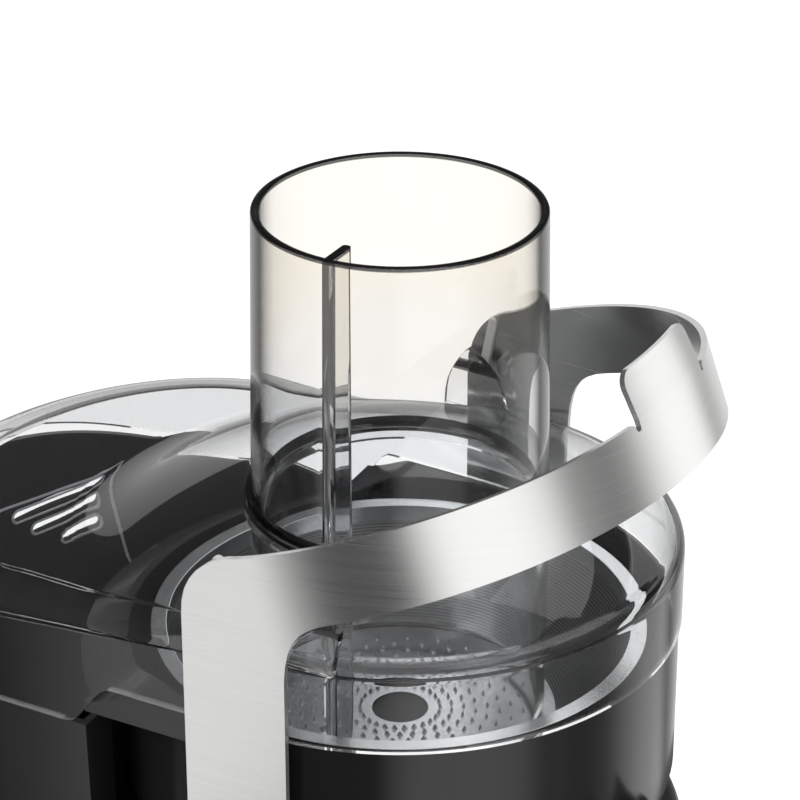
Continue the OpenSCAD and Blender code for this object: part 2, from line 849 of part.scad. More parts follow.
module basket_hub() {
    color("#26282b") at_spindle() difference() {
        union() {
            translate([0, 0, grater_z - basket_t - 3]) cylinder(r = cone_low_r - 2, h = 3);
            translate([0, 0, deck_z + 12]) cylinder(r = 13, h = grater_z - basket_t - deck_z - 12);
            translate([0, 0, bowl_z + chimney_h - 9])
                ring(chimney_r + 4, chimney_r + 1.5, grater_z - basket_t - bowl_z - chimney_h + 9);
        }
        translate([0, 0, deck_z + 11]) linear_extrude(coupling_top - deck_z - 11 + 0.5)
            coupling_plan(0.35);
    }
}

// ---- Lid ----

module lid_round(inset) {
    low = inset > 0 ? rim_z - 40 : rim_z - 20;
    rotate_extrude() polygon([
        [0, low],
        [lid_r - inset, low],
        [lid_r - inset, rim_z + shoulder_h - 5 - inset / 2],
        [lid_r - 1.6 - inset * 0.9, rim_z + shoulder_h - 2.2 - inset * 0.8],
        [lid_r - 5.4 - inset * 0.6, rim_z + shoulder_h - inset],
        [(lid_r + collar_r) / 2, rim_z + (shoulder_h + collar_h) / 2 + 1.2 - inset],
        [collar_r, collar_z - 3 - inset],
        [0, collar_z - 3 - inset],
    ]);
}

// A slab in the shape of an outline, whose height falls along the pulp side
module falling_slab(r, a, b, z, h) {
    multmatrix([[1, 0, 0, 0], [0, 1, 0, 0], [pulp_drop / (pulp_offset + pulp_end), 0, 1, z], [0, 0, 0, 1]])
        linear_extrude(h) intersection() {
            polygon(outline(r, a, b));
            translate([-400, -200]) square([400, 400]);
        }
}

module lid_pulp(inset) {
    hull() {
        falling_slab(lid_r - inset, pulp_end - inset, lid_r - inset, rim_z - 50 - inset,
            shoulder_h + 44);
        falling_slab(lid_r - 5.4 - inset, pulp_end - 18, lid_r - 18, rim_z + shoulder_h - 0.5 - inset,
            0.5);
    }
}

// What lies below the lid's lower edge, following the rim of the pulp container
module under_lid() {
    steps = 12;
    far = -pulp_offset - pulp_end - 5;
    translate([0, 200, 0]) rotate([90, 0, 0]) linear_extrude(400) polygon(concat(
        [[200, part_z], [ear_x, part_z]],
        [for (i = [0:steps]) let (x = ear_x + (far - ear_x) * i / steps) [x, saddle(x) + 0.8]],
        [[far, 0], [200, 0]]));
}

// Raised cam on each side of the lid, round the arm's pivot
module lid_cams() {
    both_sides() intersection() {
        translate([pivot_x, 0, pivot_z]) y_rod(bump_top_r, lid_r - 10, lid_r - 0.4);
        translate([pivot_x - bump_half, lid_r - 20, rim_z + shoulder_h - 4])
            cube([2 * bump_half, 40, 40]);
        linear_extrude(mouth_z) plan(0.4);
    }
}

module clear_lid() {
    color([0.85, 0.87, 0.88, 0.4]) at_spindle() difference() {
        union() {
            difference() {
                union() {
                    lid_round(0);
                    lid_pulp(0);
                }
                lid_round(lid_wall);
                lid_pulp(lid_wall);
                under_lid();
            }
            lid_cams();
            translate([0, 0, collar_z - 8]) cylinder(r = collar_r, h = 8);
        }
        translate([0, 0, rim_z - 5]) cylinder(r = tube_low_r, h = 100);
    }
}

module feed_tube() {
    color([0.88, 0.9, 0.91, 0.35]) at_spindle() {
        rotate_extrude() polygon([
            [tube_low_r - tube_wall, tube_end_z],
            [tube_low_r, tube_end_z],
            [tube_low_r, collar_z],
            [tube_r, mouth_z],
            [tube_r - tube_wall, mouth_z],
            [tube_low_r - tube_wall, collar_z],
        ]);
        intersection() {
            translate([-rib_w / 2, -tube_low_r + 1, tube_end_z])
                cube([rib_w, rib_depth + tube_wall, mouth_z - tube_end_z]);
            rotate_extrude() polygon([
                [0, tube_end_z], [tube_low_r - 1, tube_end_z], [tube_low_r - 1, collar_z],
                [tube_r - 1, mouth_z], [0, mouth_z],
            ]);
        }
    }
}

// ---- Pulp container ----

module pulp_solid(inset, z) {
    low = 7 + inset;
    difference() {
        hull() {
            translate([0, 0, z]) linear_extrude(0.1) intersection() {
                polygon(outline(lid_r - low, pulp_end - low, lid_r - low));
                translate([-400, -200]) square([400 + ear_x, 400]);
            }
            translate([0, 0, rim_high + 10]) linear_extrude(0.1) intersection() {
                polygon(outline(lid_r - inset, pulp_end - inset, lid_r - inset));
                translate([-400, -200]) square([400 + ear_x, 400]);
            }
        }
        translate([0, 0, z - 1]) cylinder(r = bay_r + inset, h = 300);
    }
}

module above_rim() {
    steps = 12;
    far = -pulp_offset - pulp_end - 5;
    translate([0, 200, 0]) rotate([90, 0, 0]) linear_extrude(400) polygon(concat(
        [for (i = [0:steps]) let (x = (far) * i / steps) [x, saddle(x)]],
        [[far, rim_z + 200], [0, rim_z + 200]]));
}

module vent_slots() {
    for (i = [0:2]) let (l = vent_l * (1 - 0.3 * i))
        translate([-pulp_offset - 58, 52, vent_z - i * vent_gap]) rotate([0, 0, vent_angle])
            translate([-20, -l / 2 + (vent_l - l) / 2, 0]) {
                translate([0, -l / 2 + vent_h / 2, -vent_h / 2]) cube([45, l - vent_h, vent_h]);
            }
}

module pulp_container() {
    color("#18181b") at_spindle() difference() {
        pulp_solid(0.4, tray_z + slack);
        pulp_solid(0.4 + pulp_wall, tray_z + slack + pulp_wall);
        above_rim();
        vent_slots();
    }
}

rubber_feet();
base_plate();
base_screws();
motor_housing();
steel_band();
motor_frame();
frame_screws();
rubber_mounts();
stator_core();
field_coils();
upper_bearing();
lower_bearing();
brush_holders();
carbon_brushes();
shaft_seal();
pivot_bushes();
control_board();
board_parts();
suppression_capacitor();
switch_body();
indicator_ring();
cord_inlet();
safety_switch();
motor_shaft();
rotor_core();
rotor_winding();
commutator();
cooling_fan();
drive_coupling();
locking_arm();
pivot_pins();
pivot_caps();
latch_studs();
juice_bowl();
outlet_pins();
drip_stop_spout();
basket_rim();
filter_mesh();
grater_disc();
basket_hub();
clear_lid();
feed_tube();
pulp_container();
speed_knob();
knob_cap();
knob_shaft();
safety_pin();
pin_spring();
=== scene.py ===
"""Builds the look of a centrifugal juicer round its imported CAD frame.

Sizes inside the functions are millimetres counted from the spindle, with z from the table.
"""
import json
import math

import bmesh
import bpy
from bpy.props import FloatProperty, FloatVectorProperty, IntProperty, PointerProperty
from bpy.types import Operator, Panel, PropertyGroup
from mathutils import Matrix, Vector

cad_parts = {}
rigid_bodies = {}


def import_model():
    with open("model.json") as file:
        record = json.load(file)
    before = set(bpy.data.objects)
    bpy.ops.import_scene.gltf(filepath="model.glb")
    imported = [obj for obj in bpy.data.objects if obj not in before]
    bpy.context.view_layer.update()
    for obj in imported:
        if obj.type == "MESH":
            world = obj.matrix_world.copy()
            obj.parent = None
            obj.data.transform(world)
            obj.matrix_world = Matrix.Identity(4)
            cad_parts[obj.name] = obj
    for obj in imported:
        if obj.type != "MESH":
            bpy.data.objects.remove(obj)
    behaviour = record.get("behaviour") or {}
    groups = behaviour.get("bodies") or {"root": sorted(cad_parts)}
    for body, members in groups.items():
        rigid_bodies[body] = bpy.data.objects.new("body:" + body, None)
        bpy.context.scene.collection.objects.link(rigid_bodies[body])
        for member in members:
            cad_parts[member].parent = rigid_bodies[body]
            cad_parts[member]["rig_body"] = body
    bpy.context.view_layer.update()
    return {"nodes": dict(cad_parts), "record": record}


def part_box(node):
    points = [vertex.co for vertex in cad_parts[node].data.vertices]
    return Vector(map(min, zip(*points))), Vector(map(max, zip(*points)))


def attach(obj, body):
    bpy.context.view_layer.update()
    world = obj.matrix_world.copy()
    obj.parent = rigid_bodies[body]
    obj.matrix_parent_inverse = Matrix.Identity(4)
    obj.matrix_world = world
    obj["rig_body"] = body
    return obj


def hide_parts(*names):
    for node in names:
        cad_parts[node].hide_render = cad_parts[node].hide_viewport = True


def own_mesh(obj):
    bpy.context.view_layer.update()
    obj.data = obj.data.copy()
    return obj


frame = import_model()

bl_info = {
    "name": "Centrifugal juicer",
    "version": (1, 0, 0),
    "blender": (4, 5, 0),
    "location": "3D View > Sidebar > Juicer",
    "description": "Clear lid, feed tube, locking arm, bowl and base of a centrifugal juicer",
    "category": "Add Mesh",
}

MM = 0.001
SPINDLE_X = sum(corner.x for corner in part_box("basket_rim")) / 2


def box_mm(node):
    """Lowest and highest corner of a CAD node in millimetres from the spindle."""
    shift = Vector((SPINDLE_X, 0, 0))
    return tuple((corner - shift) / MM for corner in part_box(node))


RIM_Z = box_mm("basket_rim")[1].z
BASKET_R = box_mm("basket_rim")[1].x
TUBE_LOW_R = box_mm("feed_tube")[1].x
TUBE_END_Z, MOUTH_Z = box_mm("feed_tube")[0].z, box_mm("feed_tube")[1].z
COLLAR_Z = box_mm("clear_lid")[1].z
LID_R = box_mm("clear_lid")[1].x
LID_BACK = -box_mm("clear_lid")[0].x
ARM_HALF = box_mm("locking_arm")[1].y
TRAY_Z = box_mm("pulp_container")[0].z

PULP_X = -95.0                  # middle of the container's round end
PULP_END = LID_BACK + PULP_X
EAR_X = -62.0                   # where the bowl's shoulders end and the container starts
PIVOT_X = -3.75
PIVOT_Z = RIM_Z - 85
COLLAR_R = TUBE_LOW_R + 1.2
SHOULDER_R = LID_R - 5.4        # where the lid's round side starts to turn down
PULP_SHOULDER = 18              # width of the shoulder round the container
ROUND_STEPS = 84                # points on each round end of the lid
BAY_R = 96.2                    # hollow side of the container, round the bowl
BIN_SLACK = 0.4                 # gap between the container and what stands round it
BIN_DRAFT = 7                   # how far the container's wall leans in towards its floor
BIN_WALL = 2.4


# ---- Sizes and colours a user would change ----

def length(name, description, default, low, high):
    """A length property in millimetres."""
    return FloatProperty(name=name, description=description, default=default, min=low, max=high)


def colour(name, description, default):
    """A colour property."""
    return FloatVectorProperty(
        name=name, description=description, default=default, size=3, min=0, max=1, subtype="COLOR")


class JuicerLidSizes(PropertyGroup):
    """Sizes of the lid and the feed tube, in millimetres."""
    wall: length("Wall", "Thickness of the lid", 2.4, 1.5, 4)
    tube_wall: length("Tube wall", "Thickness of the feed tube", 2.8, 1.5, 4)
    tube_flare: length("Tube flare", "Widening of the tube towards the collar", 1.6, 0, 3)
    rib_depth: length("Rib depth", "Depth of the guide rib", 12, 6, 18)
    rib_width: length("Rib width", "Thickness of the guide rib", 2.8, 2, 4)
    shoulder: length("Shoulder", "Height of the shoulder above the basket", 33.7, 30, 40)
    pulp_drop: length("Pulp drop", "Fall of the lid over the pulp side", 14, 4, 18)


class JuicerArmSizes(PropertyGroup):
    """Sizes of the locking arm, in millimetres."""
    metal: length("Metal", "Thickness of the metal", 2, 1.5, 3)
    band: length("Band", "Height of the band", 23.7, 18, 28)
    tilt: FloatProperty(
        name="Tilt", description="Rise of the band towards the grip",
        default=math.radians(20.1), min=0.2, max=0.4, subtype="ANGLE", unit="ROTATION")
    reach: length("Reach", "Reach of the band from its straight sides", 99, 96, 118)
    leg: length("Leg", "Width of each leg", 34.5, 28, 38)
    tab_width: length("Tab width", "Width of the grip tab", 43, 30, 60)
    tab_height: length("Tab height", "Height of the grip tab", 14.5, 8, 16)
    lean: FloatProperty(name="Lean", description="Slope of the tab towards the tube", default=0.13,
                        min=0, max=0.3)


class JuicerBasketSizes(PropertyGroup):
    """Sizes of the filter basket."""
    hole_pitch: length("Hole pitch", "Distance between the holes of the mesh", 0.8, 0.5, 2)
    tooth_arms: IntProperty(name="Tooth arms", description="Rows of teeth", default=26, min=8, max=40)
    tooth_rows: IntProperty(name="Tooth rows", description="Teeth in each row", default=9, min=3, max=14)


class JuicerKnobSizes(PropertyGroup):
    """Sizes of the speed knob."""
    knob_ribs: IntProperty(name="Ribs", description="Ribs round the speed knob", default=32, min=12, max=60)


class JuicerColours(PropertyGroup):
    """Colours of the finishes."""
    plastic: colour("Black plastic", "Gloss black of bowl and container", (0.012, 0.012, 0.013))
    housing: colour("Housing", "Black of the motor housing", (0.016, 0.016, 0.018))
    clear: colour("Clear plastic", "Tint of lid and tube", (0.93, 0.935, 0.94))
    metal: colour("Brushed metal", "Aluminium of the locking arm", (0.80, 0.80, 0.79))
    steel: colour("Steel", "Steel of the basket and the band", (0.66, 0.67, 0.68))


# ---- Shader node groups ----

def node_group(name, inputs, outputs):
    """An empty shader node group with named sockets. Returns it with its two end nodes."""
    group = bpy.data.node_groups.new(name, "ShaderNodeTree")
    for label, kind, value in inputs:
        socket = group.interface.new_socket(name=label, in_out="INPUT", socket_type=kind)
        if value is not None:
            socket.default_value = value
    for label, kind in outputs:
        group.interface.new_socket(name=label, in_out="OUTPUT", socket_type=kind)
    return group, group.nodes.new("NodeGroupInput"), group.nodes.new("NodeGroupOutput")


def plug(tree, value, socket):
    """Feeds a socket from another socket or with a plain value."""
    if isinstance(value, bpy.types.NodeSocket):
        tree.links.new(value, socket)
    else:
        socket.default_value = value


def fill(tree, node, values):
    """Feeds a node's inputs by name, with underscores for spaces, and returns the node."""
    for label, value in values.items():
        plug(tree, value, node.inputs[label.replace("_", " ")])
    return node


def maths(tree, operation, first, second=None):
    """A Math node; first and second are sockets or numbers."""
    node = tree.nodes.new("ShaderNodeMath")
    node.operation = operation
    for socket, value in zip(node.inputs, (first, second)):
        if value is not None:
            plug(tree, value, socket)
    return node.outputs[0]


def coordinates(tree, vector):
    """The three coordinates of a vector."""
    return fill(tree, tree.nodes.new("ShaderNodeSeparateXYZ"), {"Vector": vector}).outputs


def ramp(tree, value, low, high):
    """0 at low, 1 at high, held outside."""
    node = tree.nodes.new("ShaderNodeMapRange")
    return fill(tree, node, {"From Min": low, "From Max": high, "Value": value}).outputs["Result"]


def colour_mix(tree, first, second, mask):
    """Mixes two colours, sockets or plain, by a mask."""
    node = tree.nodes.new("ShaderNodeMix")
    node.data_type = "RGBA"
    first, second = ((*value, 1) if isinstance(value, tuple) else value for value in (first, second))
    return fill(tree, node, {"A": first, "B": second, "Factor": mask}).outputs["Result"]


def noise_field(tree, vector, scale, detail):
    """Noise over a vector; scale is a socket or a number."""
    node = tree.nodes.new("ShaderNodeTexNoise")
    return fill(tree, node, {"Detail": detail, "Vector": vector, "Scale": scale}).outputs["Fac"]


def uneven(tree, entry, noise):
    """The group's Roughness, raised and lowered by a noise within its Spread."""
    spread = maths(tree, "MULTIPLY", maths(tree, "SUBTRACT", noise, 0.5), entry.outputs["Spread"])
    return maths(tree, "ADD", entry.outputs["Roughness"], spread)


def moulded_grain():
    """Fine grain and slow unevenness of moulded plastic."""
    tree, entry, leave = node_group(
        "moulded grain",
        [("Vector", "NodeSocketVector", None), ("Grain scale", "NodeSocketFloat", 2600.0),
         ("Roughness", "NodeSocketFloat", 0.2), ("Spread", "NodeSocketFloat", 0.08)],
        [("Height", "NodeSocketFloat"), ("Roughness", "NodeSocketFloat")])
    fine = noise_field(tree, entry.outputs["Vector"], entry.outputs["Grain scale"], 3)
    slow = noise_field(tree, entry.outputs["Vector"], 38.0, 3)
    fill(tree, leave, {"Height": fine, "Roughness": uneven(tree, entry, slow)})
    return tree


def brushed_lines():
    """Fine lines that run along one axis, for brushed metal."""
    tree, entry, leave = node_group(
        "brushed lines",
        [("Vector", "NodeSocketVector", None), ("Line scale", "NodeSocketFloat", 1.0),
         ("Roughness", "NodeSocketFloat", 0.3), ("Spread", "NodeSocketFloat", 0.1)],
        [("Height", "NodeSocketFloat"), ("Roughness", "NodeSocketFloat"), ("Shade", "NodeSocketFloat")])
    fine = noise_field(tree, entry.outputs["Vector"], entry.outputs["Line scale"], 4)
    wide = noise_field(tree, entry.outputs["Vector"], 0.13, 2)
    fill(tree, leave, {"Height": fine, "Roughness": uneven(tree, entry, fine), "Shade": wide})
    return tree


def edge_wear():
    """A mask of convex edges, broken up by noise."""
    tree, entry, leave = node_group(
        "edge wear",
        [("Vector", "NodeSocketVector", None), ("Start", "NodeSocketFloat", 0.52),
         ("End", "NodeSocketFloat", 0.60)],
        [("Mask", "NodeSocketFloat")])
    shape = tree.nodes.new("ShaderNodeNewGeometry")
    convex = ramp(tree, shape.outputs["Pointiness"], entry.outputs["Start"], entry.outputs["End"])
    patch = noise_field(tree, entry.outputs["Vector"], 160.0, 4)
    fill(tree, leave, {"Mask": maths(tree, "MULTIPLY", convex, patch)})
    return tree


def perforation():
    """Rows of round holes on a cone about the spindle."""
    tree, entry, leave = node_group(
        "perforation",
        [("Vector", "NodeSocketVector", None), ("Pitch", "NodeSocketFloat", 0.0011),
         ("Radius", "NodeSocketFloat", 0.065)],
        [("Hole", "NodeSocketFloat"), ("Height", "NodeSocketFloat")])
    x, y, z = coordinates(tree, entry.outputs["Vector"])
    columns = maths(tree, "DIVIDE", maths(tree, "MULTIPLY", maths(tree, "ARCTAN2", y, x),
                                          entry.outputs["Radius"]), entry.outputs["Pitch"])
    rows = maths(tree, "DIVIDE", z, entry.outputs["Pitch"])
    step = maths(tree, "MULTIPLY", maths(tree, "MODULO", maths(tree, "FLOOR", rows), 2.0), 0.5)
    across = maths(tree, "SUBTRACT", maths(tree, "FRACT", maths(tree, "ADD", columns, step)), 0.5)
    up = maths(tree, "SUBTRACT", maths(tree, "FRACT", rows), 0.5)
    distance = maths(tree, "SQRT", maths(
        tree, "ADD", maths(tree, "MULTIPLY", across, across), maths(tree, "MULTIPLY", up, up)))
    outer, inner = 0.36, 0.22       # a hole's soft edge, as shares of the pitch
    hole = ramp(tree, distance, outer, inner)
    fill(tree, leave, {"Hole": hole, "Height": maths(tree, "SUBTRACT", 1.0, hole)})
    return tree


# ---- Materials ----

class Finish:
    """A material with a Principled shader and Object coordinates about the spindle."""

    def __init__(self, name, base, **sockets):
        self.material = bpy.data.materials.new(name)
        self.material.use_nodes = True
        self.tree = self.material.node_tree
        self.shader = self.tree.nodes["Principled BSDF"]
        fill(self.tree, self.shader, {"Base Color": (*base, 1), **sockets})
        source = self.tree.nodes.new("ShaderNodeTexCoord")
        self.place = self.mapped(source.outputs["Object"], Location=(-SPINDLE_X, 0, 0))

    def mapped(self, vector, **values):
        """A vector sent through a Mapping node."""
        node = self.tree.nodes.new("ShaderNodeMapping")
        return fill(self.tree, node, {"Vector": vector, **values}).outputs["Vector"]

    def stretched(self, scale):
        """The coordinates scaled along each axis."""
        return self.mapped(self.place, Scale=scale)

    def around(self, turns, rise):
        """Coordinates that run round the spindle and up."""
        x, y, z = coordinates(self.tree, self.place)
        join = self.tree.nodes.new("ShaderNodeCombineXYZ")
        turn = maths(self.tree, "MULTIPLY", maths(self.tree, "ARCTAN2", y, x), turns)
        return fill(self.tree, join, {"X": turn, "Y": maths(self.tree, "MULTIPLY", z, rise)}).outputs[0]

    def group(self, group, vector, **values):
        """Places a node group with its own values and returns its outputs."""
        node = self.tree.nodes.new("ShaderNodeGroup")
        node.node_tree = group
        return fill(self.tree, node, {"Vector": vector, **values}).outputs

    def feed(self, output, label):
        """Links an output to a socket of the Principled shader."""
        self.tree.links.new(output, self.shader.inputs[label])

    def bump(self, height, strength, distance):
        """A Bump node that feeds Normal."""
        node = self.tree.nodes.new("ShaderNodeBump")
        fill(self.tree, node, {"Strength": strength, "Distance": distance, "Height": height})
        self.feed(node.outputs["Normal"], "Normal")

    def tint(self, first, second, mask):
        """Mixes two base colours by a mask."""
        self.feed(colour_mix(self.tree, first, second, mask), "Base Color")


def scaled(base, factor):
    """A colour times a factor."""
    return tuple(min(1.0, c * factor) for c in base)


def grained(finish, base, roughness, groups, grain, spread, strength, worn):
    """Gives a finish its grain and lighter edges and returns its material."""
    surface = finish.group(groups["grain"], finish.place, Grain_scale=grain, Roughness=roughness,
                           Spread=spread)
    finish.feed(surface["Roughness"], "Roughness")
    finish.bump(surface["Height"], strength, 0.00005)
    wear = finish.group(groups["wear"], finish.place)
    finish.tint(base, scaled(base, worn), wear["Mask"])
    return finish.material


def plastic(name, base, roughness, groups, grain=2600.0, strength=0.05):
    """Moulded plastic with grain and lighter edges."""
    finish = Finish(name, base, Roughness=roughness)
    return grained(finish, base, roughness, groups, grain, roughness * 0.35, strength, 1.8)


def clear_plastic(name, base, groups, shade_from, shade_to, reflection_from=None):
    """Clear plastic with painted shade, darker where it is seen along the wall and in a band between two
    heights, and with a painted warm reflection from a given height up.
    """
    finish = Finish(name, base, Roughness=0.012, IOR=1.49, Transmission_Weight=1.0)
    tree = finish.tree
    slow = finish.group(groups["grain"], finish.place, Grain_scale=60.0, Roughness=0.012, Spread=0.01)
    finish.feed(slow["Roughness"], "Roughness")
    # Painted shade: the colour falls to a tenth where the wall is seen edge-on, standing in for the dark
    # edges that refraction gives thick clear plastic.
    facing = fill(tree, tree.nodes.new("ShaderNodeLayerWeight"), {"Blend": 0.5})
    along = ramp(tree, facing.outputs["Facing"], 0.60, 0.92)
    height = coordinates(tree, finish.place)["Z"]
    fade, reflection_rise = 0.3, 22
    # Painted shade: a near-black band between two heights, standing in for the dark rim that refraction
    # shows at the collar or the tube's mouth.
    band = maths(tree, "MULTIPLY", ramp(tree, height, (shade_from - fade) * MM, shade_from * MM),
                 ramp(tree, height, (shade_to + fade) * MM, shade_to * MM))
    body = base
    # Painted reflection: a warm tint rising from a given height, standing in for the warm room reflected in
    # the tube.
    if reflection_from:
        painted_warm_reflection = ramp(tree, height, reflection_from * MM, (reflection_from + reflection_rise) * MM)
        body = colour_mix(tree, base, (base[0] * 1.02, base[1] * 0.985, base[2] * 0.92), painted_warm_reflection)
    sides = colour_mix(tree, body, scaled(base, 0.10), along)
    finish.feed(colour_mix(tree, sides, (0.02, 0.02, 0.02), band), "Base Color")
    path = tree.nodes.new("ShaderNodeLightPath")
    through = fill(tree, tree.nodes.new("ShaderNodeBsdfTransparent"), {"Color": (*scaled(base, 0.97), 1)})
    shade = tree.nodes.new("ShaderNodeMixShader")
    tree.links.new(path.outputs["Is Shadow Ray"], shade.inputs["Fac"])
    tree.links.new(finish.shader.outputs["BSDF"], shade.inputs[1])
    tree.links.new(through.outputs["BSDF"], shade.inputs[2])
    tree.links.new(shade.outputs["Shader"], tree.nodes["Material Output"].inputs["Surface"])
    return finish.material


def brushed(name, base, roughness, groups, vector_of, strength, shade):
    """Metal brushed along the lines of vector_of(finish)."""
    finish = Finish(name, base, Metallic=1.0, Roughness=roughness)
    lines = finish.group(groups["brushed"], vector_of(finish), Roughness=roughness,
                         Spread=roughness * 0.5)
    finish.feed(lines["Roughness"], "Roughness")
    finish.bump(lines["Height"], strength, 0.00004)
    finish.tint(scaled(base, 1 - shade), scaled(base, 1 + shade * 0.5), lines["Shade"])
    return finish.material


def plain_metal(name, base, roughness, groups):
    """Turned or cast metal with light grain and worn edges."""
    finish = Finish(name, base, Metallic=1.0, Roughness=roughness)
    return grained(finish, base, roughness, groups, 900.0, 0.12, 0.1, 1.25)


def mesh_steel(base, groups, pitch):
    """Steel sheet with rows of fine holes, its steel darkened as painted shade and its holes painted near
    black.
    """
    finish = Finish("basket_mesh", base, Metallic=1.0, Roughness=0.32)
    middle_r = BASKET_R * MM * 0.82
    holes = finish.group(groups["holes"], finish.place, Pitch=pitch * MM, Radius=middle_r)
    finish.bump(holes["Height"], 0.25, 0.00006)
    # Painted shade: the sheet's steel darkened to 0.42 for the dim inside of the basket; the holes are
    # painted near black.
    finish.tint(scaled(base, 0.42), (0.06, 0.06, 0.06), holes["Hole"])
    return finish.material


def make_materials(colours, basket):
    """All finishes by the record's slot names."""
    groups = {"grain": moulded_grain(), "brushed": brushed_lines(), "wear": edge_wear(),
              "holes": perforation()}
    steel = tuple(colours.steel)
    black = tuple(colours.plastic)
    clear = tuple(colours.clear)
    made = {
        # Painted shade: a dark band at the height of the lid's collar.
        "clear_plastic": clear_plastic("clear_plastic", clear, groups, COLLAR_Z - 2.2, COLLAR_Z + 1),
        # Painted shade as a dark band at the tube's mouth, and a painted warm reflection from 55 mm below
        # the mouth up.
        "clear_tube": clear_plastic("clear_tube", clear, groups, MOUTH_Z - 1.0, MOUTH_Z + 1, MOUTH_Z - 55),
        "gloss_black": plastic("gloss_black", black, 0.16, groups),
        "housing_black": plastic("housing_black", tuple(colours.housing), 0.34, groups, 1500.0, 0.12),
        # Clear plastic darkened to a fifth: painted shade for the dark line along the lid's shoulder.
        "shoulder_shade_clear": clear_plastic("shoulder_shade_clear", scaled(clear, 0.2), groups, MOUTH_Z, MOUTH_Z + 1),
        # Black plastic lightened sixty times: painted highlight for the beads round the container's slots
        # and panel border.
        "painted_highlight": plastic("painted_highlight", scaled(black, 60), 0.2, groups),
        "matte_black": plastic("matte_black", (0.02, 0.02, 0.021), 0.5, groups, 1200.0, 0.2),
        "black_rubber": plastic("black_rubber", (0.018, 0.018, 0.018), 0.75, groups, 900.0, 0.3),
        "brushed_aluminium": brushed(
            "brushed_aluminium", tuple(colours.metal), 0.25, groups,
            lambda f: f.stretched((12, 12, 2600)), 0.004, 0.02),
        "brushed_steel": brushed(
            "brushed_steel", steel, 0.28, groups, lambda f: f.around(4, 2600), 0.05, 0.04),
        "basket_steel": brushed("basket_steel", scaled(steel, 1.15), 0.2, groups,
                                lambda f: f.around(5, 3000), 0.06, 0.05),
        "basket_mesh": mesh_steel(steel, groups, basket.hole_pitch),
    }
    for name, base, roughness in (
            ("cream_plastic", (0.72, 0.68, 0.58), 0.4), ("brown_plastic", (0.16, 0.09, 0.04), 0.4),
            ("board_green", (0.02, 0.12, 0.04), 0.35), ("part_blue", (0.03, 0.07, 0.2), 0.35),
            ("part_yellow", (0.6, 0.42, 0.04), 0.35), ("frosted_ring", (0.72, 0.73, 0.74), 0.45),
            ("carbon", (0.03, 0.03, 0.03), 0.6)):
        made[name] = plastic(name, base, roughness, groups)
    for name, base, roughness in (
            ("zinc_steel", (0.62, 0.63, 0.64), 0.3), ("bearing_steel", (0.7, 0.71, 0.72), 0.18),
            ("core_steel", (0.22, 0.23, 0.24), 0.45), ("cast_alloy", (0.5, 0.51, 0.52), 0.42),
            ("copper", (0.72, 0.3, 0.12), 0.28), ("bronze", (0.55, 0.36, 0.16), 0.35)):
        made[name] = plain_metal(name, base, roughness, groups)
    return made


MATERIALS = {}
SLOTS = {part["node"]: part["material_slot"] for part in frame["record"]["subparts"]}


# ---- Mesh helpers ----

def new_object(name, data):
    """An object in the scene."""
    made = bpy.data.objects.new(name, data)
    bpy.context.scene.collection.objects.link(made)
    return made


def add_piece(name, points, faces, slot, edges=()):
    """A mesh object at the origin from points in millimetres about the spindle."""
    mesh = bpy.data.meshes.new(name)
    mesh.from_pydata([(x * MM + SPINDLE_X, y * MM, z * MM) for x, y, z in points], list(edges), faces)
    mesh.materials.append(MATERIALS[slot])
    return new_object(name, mesh)


def add_rings(name, rings, slot, wrap=False, more_faces=()):
    """A mesh object from closed rings of points, with the last joined to the first by wrap."""
    points = [point for ring in rings for point in ring]
    faces = grid_faces(len(rings), len(rings[0]), wrap) + list(more_faces)
    return add_piece(name, points, faces, slot)


def slice_mesh(work, place, normal, merge):
    """Cuts every face along a plane and keeps both sides."""
    everything = [*work.verts, *work.edges, *work.faces]
    bmesh.ops.bisect_plane(work, geom=everything, dist=merge, plane_co=place, plane_no=normal)


def clean(piece, merge=0.00001, sheet=False):
    """Merges doubles and points the faces outwards, or upwards on an open sheet."""
    work = bmesh.new()
    work.from_mesh(piece.data)
    bmesh.ops.remove_doubles(work, verts=work.verts, dist=merge)
    bmesh.ops.dissolve_degenerate(work, edges=work.edges, dist=merge / 2)
    bmesh.ops.recalc_face_normals(work, faces=work.faces)
    if sheet:
        outward = sum(face.normal.z * face.calc_area() for face in work.faces)
    else:
        outward = work.calc_volume(signed=True)
    if outward < 0:
        bmesh.ops.reverse_faces(work, faces=work.faces)
    work.to_mesh(piece.data)
    work.free()


def modifier(piece, kind, **values):
    """Adds a modifier with its values."""
    made = piece.modifiers.new(kind.title(), kind)
    for name, value in values.items():
        setattr(made, name, value)
    return made


def soften(piece, width, segments=2, angle=35):
    """Rounds the edges of a piece."""
    modifier(piece, "BEVEL", width=width * MM, segments=segments, limit_method="ANGLE",
             angle_limit=math.radians(angle), miter_outer="MITER_ARC", harden_normals=False)


def bake_modifiers(piece):
    """Turns a piece's modifiers into plain mesh."""
    depsgraph = bpy.context.evaluated_depsgraph_get()
    depsgraph.update()
    made = bpy.data.meshes.new_from_object(piece.evaluated_get(depsgraph))
    piece.modifiers.clear()
    old = piece.data
    piece.data = made
    bpy.data.meshes.remove(old)
    made.name = piece.name
    return made


def shade_smooth(mesh, angle):
    """Shades a mesh smooth except at edges sharper than an angle in degrees."""
    mesh.polygons.foreach_set("use_smooth", [True] * len(mesh.polygons))
    mesh.set_sharp_from_angle(angle=math.radians(angle))


def settle(piece, angle=32):
    """Turns modifiers into plain mesh and shades it smooth, with the large faces leading."""
    shade_smooth(bake_modifiers(piece), angle)
    modifier(piece, "WEIGHTED_NORMAL", keep_sharp=True, weight=50)
    bake_modifiers(piece)


def belongs(piece, body, slot, *nodes):
    """Rides on a body and stands for CAD nodes; slot is not used."""
    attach(piece, body)
    if nodes:
        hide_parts(*nodes)


